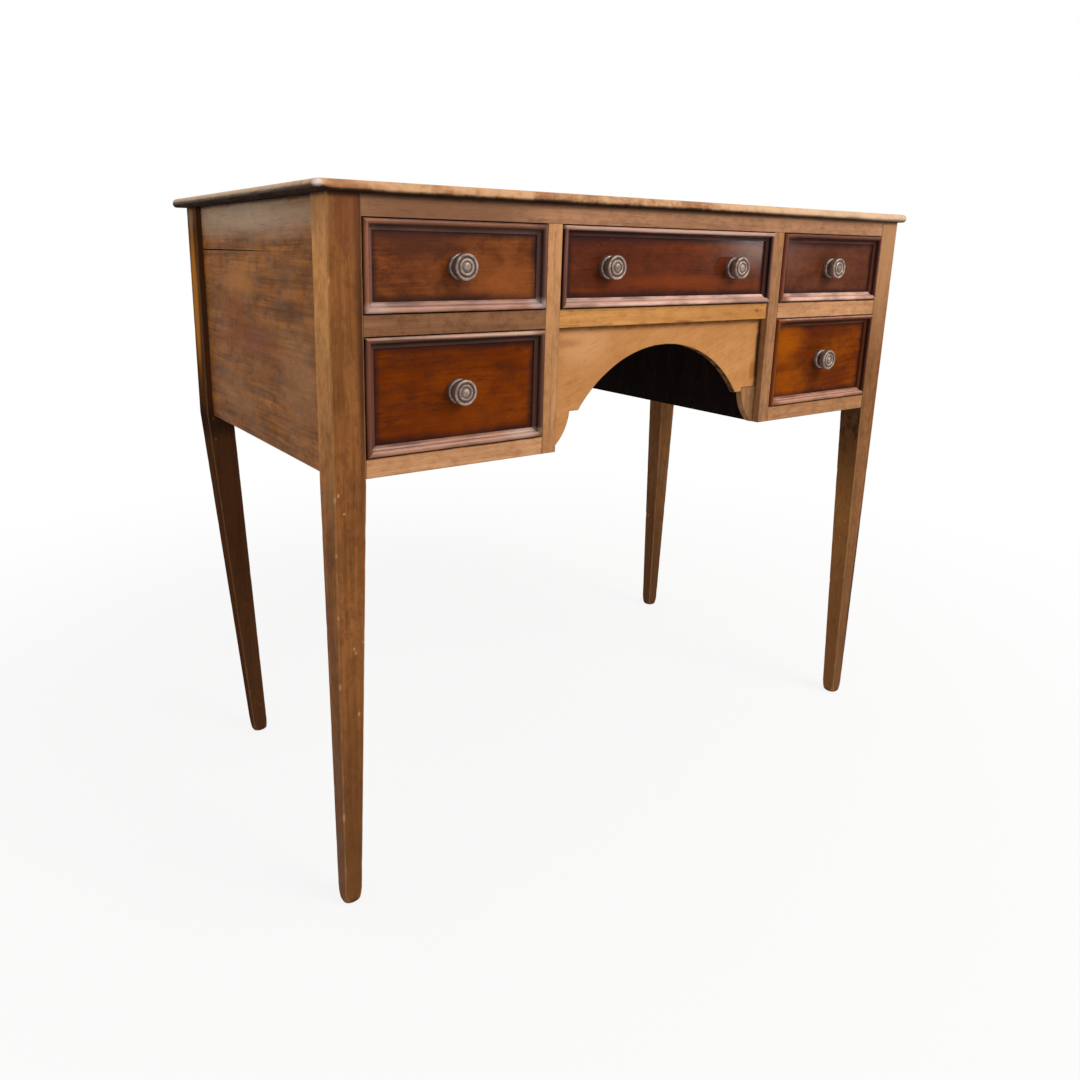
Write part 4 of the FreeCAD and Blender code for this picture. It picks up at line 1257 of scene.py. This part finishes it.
def mouldingProfile():
    nose, quirk, start = moulding["noseWidth"] / 2, moulding["quirk"], moulding["noseWidth"]
    shoulder = moulding["height"] - nose
    coveTop = shoulder - quirk * 2
    run = moulding["width"] - start - quirk
    fall = coveTop - moulding["lip"]
    points = [(0, 0), (0, shoulder)]
    points += arc(nose, shoulder, nose, 180, 0, moulding["noseSteps"])[1:]
    points.append((start, coveTop))
    for turn in quarterTurn(moulding["coveSteps"]):
        points.append((start + quirk + run * (1 - math.cos(turn)), coveTop - fall * math.sin(turn)))
    points.append((moulding["width"], 0))
    return profileCurve("mouldingProfile", points, True)


# One strip lies along X, its outer edge at Z = 0, and its height runs to -Y. The ends shear to mitres.
def addStrip(tree, sockets, length, number):
    half = calc(tree, "MULTIPLY", length, 0.5)
    start = joinAxes(tree, {0: calc(tree, "MULTIPLY", half, -1.0)})
    count = calc(tree, "DIVIDE", length, sockets["Spacing"])
    count = addNode(tree, "FunctionNodeFloatToInt", {0: count}).outputs[0]
    line = geometryStep(tree, "CurvePrimitiveLine", {"Start": start, "End": joinAxes(tree, {0: half})})
    line = geometryStep(tree, "ResampleCurve", {"Curve": line, "Count": count})
    swept = {"Curve": line, "Profile Curve": profileShape(tree, sockets), "Fill Caps": True}
    strip = geometryStep(tree, "CurveToMesh", swept)
    at = splitAxes(tree, geometryStep(tree, "InputPosition"))
    across = calc(tree, "ABSOLUTE", at["Y"])
    height = calc(tree, "ABSOLUTE", at["Z"])
    shrink = calc(tree, "SUBTRACT", 1.0, calc(tree, "DIVIDE", calc(tree, "MULTIPLY", across, 2.0), length))
    along = calc(tree, "MULTIPLY", at["X"], shrink)
    own = joinAxes(tree, {0: calc(tree, "ADD", along, moulding["stripStep"] * number), 1: across, 2: height})
    ripple = {"Vector": own, "Scale": moulding["waverScale"], "Detail": 2.0}
    rough = addNode(tree, "ShaderNodeTexNoise", ripple).outputs[0]
    worn = calc(tree, "MULTIPLY", calc(tree, "SUBTRACT", rough, 0.5), sockets["Waver"])
    worn = calc(tree, "MULTIPLY", worn, calc(tree, "DIVIDE", height, moulding["height"]))
    forward = calc(tree, "MULTIPLY", calc(tree, "SUBTRACT", height, calc(tree, "ABSOLUTE", worn)), -1.0)
    strip = keepVector(tree, strip, "grainSpace", own)
    place = joinAxes(tree, {0: along, 1: forward, 2: across})
    return geometryStep(tree, "SetPosition", {"Geometry": strip, "Position": place})


def mouldingTree():
    tree, sockets = newTree("mouldingStrips", {
        "Width": "Float", "Height": "Float", "Middle": "Vector", "Spacing": "Float", "Waver": "Float",
        "Profile": "Object", "Material": "Material",
    })
    joined = addNode(tree, "GeometryNodeJoinGeometry")
    for number, turn in enumerate(moulding["turns"]):
        length, reach = sockets["Width"], sockets["Height"]
        if number % 2:
            length, reach = reach, length
        strip = addStrip(tree, sockets, length, number)
        drop = joinAxes(tree, {2: calc(tree, "MULTIPLY", reach, -0.5)})
        swing = (0, math.radians(turn), 0)
        for move in ({"Translation": drop}, {"Rotation": swing}, {"Translation": sockets["Middle"]}):
            strip = geometryStep(tree, "Transform", {"Geometry": strip, **move})
        tree.links.new(strip, joined.inputs[0])
    endTree(tree, joined.outputs[0], sockets["Material"])
    return tree


strips = mouldingTree()
stripProfile = mouldingProfile()
stripWood = {}
for row, changes in moulding["rows"].items():
    look = {**moulding["look"], **changes}
    # The paler up-facing faces, dust and wear with a painted highlight, and the painted shade on down-facing
    # faces.
    upper = facingToneAndPaintedLight((0, 0, 1), moulding["upperTone"], look["topAmount"], moulding["upperBetween"])
    look["flanks"] = (upper, facingToneAndPaintedLight((0, 0, -1), moulding["underTone"], moulding["underAmount"]))
    stripWood[row] = woodFinish(camel(row) + "MouldingWood", look)
for name in drawers["names"]:
    node = f"{name}_drawer_beading"
    low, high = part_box(node)
    mesh = growMesh(camel(node), strips, {
        "Width": high.x - low.x, "Height": high.z - low.z,
        "Middle": ((low.x + high.x) / 2, high.y, (low.z + high.z) / 2),
        "Spacing": moulding["spacing"], "Waver": moulding["waver"], "Profile": stripProfile,
        "Material": stripWood[name],
    })
    addPiece(node, mesh, f"{name}_drawer")
print("mouldings made")


# Knobs: turned brass, a rose on the drawer, a neck and a ringed head, dark in the hollows

knobs = {
    "sides": 64,
    "bright": tone(166, 147, 136),
    "brown": tone(124, 105, 95),
    "hollow": tone(86, 69, 61),
    "rough": (0.42, 0.6),
    "dullness": 0.3,  # how much rougher the hollows are
    "pits": 0.25,
    "depth": 0.4 * mm,
    "boltRadius": 2.5 * mm,
    "hollows": ((0.0, 2.6, 0.4), (4.75, 0.9, 0.45), (9.6, 1.0, 1.0)),  # radius and width in mm, how dark
    "hollowCore": 0.2 * mm,
    "neck": {"level": 7.3 * mm, "reach": (2.6 * mm, 1.0 * mm), "within": (12 * mm, 9.5 * mm), "amount": 0.8},
}


# The turned outline in mm, from the middle of the face to the end of the bolt
def knobProfile(boltEnd):
    bolt = knobs["boltRadius"] / mm
    points = [(0, 17.6)]
    points += arc(0, 6.0, 11.6, 87, 70, 5)  # boss
    points += [(4.3, 16.2), (5.0, 16.1)]
    points += arc(7.2, 15.5, 1.7, 180, 0, 8)  # inner ring
    points += [(9.3, 15.0), (10.2, 15.0)]
    points += arc(11.9, 15.5, 1.6, 180, 0, 8)  # rim
    points += [(13.5, 11.4)]
    points += arc(11.9, 11.0, 1.6, 0, -70, 5)
    points += [(7.4, 9.0)]
    points += arc(8.4, 7.4, 1.9, 135, 225, 5)  # neck
    points += [(9.4, 5.5), (11.2, 5.5)]
    points += arc(11.2, 3.45, 2.05, 90, 0, 6)  # rose
    points += [(13.25, 0.0), (bolt, 0.0), (bolt, boltEnd), (0, boltEnd)]
    return profileCurve("knobProfile", [(x * mm, y * mm) for x, y in points], False)


def brassFinish():
    material, tree = newMaterial("agedBrass")
    parts = splitAxes(tree, addNode(tree, "ShaderNodeAttribute", attribute_name="turning").outputs["Vector"])
    place = objectPlace(tree)
    blotch = grainNoise(tree, place, (160, 160, 160), 4.0, 0.65)
    pits = grainNoise(tree, place, (900, 900, 900), 2.0)
    colour = blendTone(tree, ramp(tree, blotch, 0.35, 0.65), knobs["brown"], knobs["bright"])
    neck = knobs["neck"]
    dark = ramp(tree, apart(tree, parts["Y"], neck["level"]), *neck["reach"], 0.0, neck["amount"])
    dark = calc(tree, "MULTIPLY", dark, ramp(tree, parts["X"], *neck["within"]))
    for radius, width, amount in knobs["hollows"]:
        off = apart(tree, parts["X"], radius * mm)
        dark = calc(tree, "MAXIMUM", dark, ramp(tree, off, width * mm, knobs["hollowCore"], 0.0, amount))
    dark = calc(tree, "MULTIPLY", dark, ramp(tree, blotch, 0.35, 0.6, 0.35, 1.0))
    smooth, coarse = knobs["rough"]
    rough = calc(tree, "MULTIPLY_ADD", dark, knobs["dullness"], ramp(tree, blotch, 0.3, 0.7, coarse, smooth))
    endMaterial(tree, calc(tree, "MULTIPLY_ADD", pits, knobs["pits"], blotch), knobs["depth"], {
        "Base Color": blendTone(tree, dark, colour, knobs["hollow"]), "Roughness": rough,
        "Metallic": ramp(tree, dark, 0.0, 1.0, 0.85, 0.2),
    })
    return material


# Turns a profile about Y: the grid's rows follow the profile's points, its columns go round.
def latheTree(name):
    tree, sockets = newTree(name, {"Sides": "Int", "Profile": "Object", "Material": "Material"})
    shape = profileShape(tree, sockets)
    size = addNode(tree, "GeometryNodeAttributeDomainSize", {"Geometry": shape}, component="CURVE")
    size = size.outputs["Point Count"]
    columns = calc(tree, "ADD", sockets["Sides"], 1)
    grid = geometryStep(tree, "MeshGrid", {"Vertices X": columns, "Vertices Y": size})
    index = geometryStep(tree, "InputIndex")
    row = calc(tree, "MODULO", index, size)
    column = calc(tree, "FLOOR", calc(tree, "DIVIDE", index, size))
    sampled = {"Geometry": shape, "Value": geometryStep(tree, "InputPosition"), "Index": row}
    sample = geometryStep(tree, "SampleIndex", sampled, data_type="FLOAT_VECTOR", domain="POINT")
    parts = splitAxes(tree, sample)
    turn = calc(tree, "DIVIDE", calc(tree, "MULTIPLY", column, 2 * math.pi), sockets["Sides"])
    x = calc(tree, "MULTIPLY", parts["X"], calc(tree, "COSINE", turn))
    z = calc(tree, "MULTIPLY", parts["X"], calc(tree, "SINE", turn))
    y = calc(tree, "MULTIPLY", parts["Y"], -1.0)
    grid = keepVector(tree, grid, "turning", joinAxes(tree, {0: parts["X"], 1: parts["Y"]}))
    turned = {"Geometry": grid, "Position": joinAxes(tree, {0: x, 1: y, 2: z})}
    turned = geometryStep(tree, "SetPosition", turned)
    copies = geometryStep(tree, "InstanceOnPoints", {"Points": sockets["Geometry"], "Instance": turned})
    endTree(tree, copies, sockets["Material"])
    return tree


lathe = latheTree("turnedPieces")
brass = brassFinish()
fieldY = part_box("center_drawer_front")[0].y
knobShape = knobProfile((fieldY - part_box("center_drawer_knobs")[1].y) / mm)
for name in drawers["names"]:
    node = f"{name}_drawer_knobs"
    places = [(place.x, fieldY, place.z) for place in knobPlaces(name)]
    turned = {"Sides": knobs["sides"], "Profile": knobShape, "Material": brass}
    mesh = growMesh(camel(node), lathe, turned, places)
    addPiece(node, mesh, f"{name}_drawer")
print("knobs made")


# Iron: the nuts behind the knobs and the screws that hold the top

iron = {"bright": tone(120, 112, 104), "rust": tone(74, 50, 36), "rough": (0.45, 0.7), "depth": 0.3 * mm}


def ironFinish():
    material, tree = newMaterial("oldIron")
    blotch = grainNoise(tree, objectPlace(tree), (220, 220, 220), 5.0, 0.7)
    rusty = ramp(tree, blotch, 0.42, 0.62)
    endMaterial(tree, blotch, iron["depth"], {
        "Base Color": blendTone(tree, rusty, iron["bright"], iron["rust"]),
        "Roughness": ramp(tree, rusty, 0.0, 1.0, *iron["rough"]),
        "Metallic": ramp(tree, rusty, 0.0, 1.0, 0.9, 0.2),
    })
    return material


ironMaterial = ironFinish()
for name in drawers["names"]:
    nodes[f"{name}_drawer_nuts"].material_slots[0].material = ironMaterial
nodes["tabletop_screws"].material_slots[0].material = ironMaterial
print("iron finished")
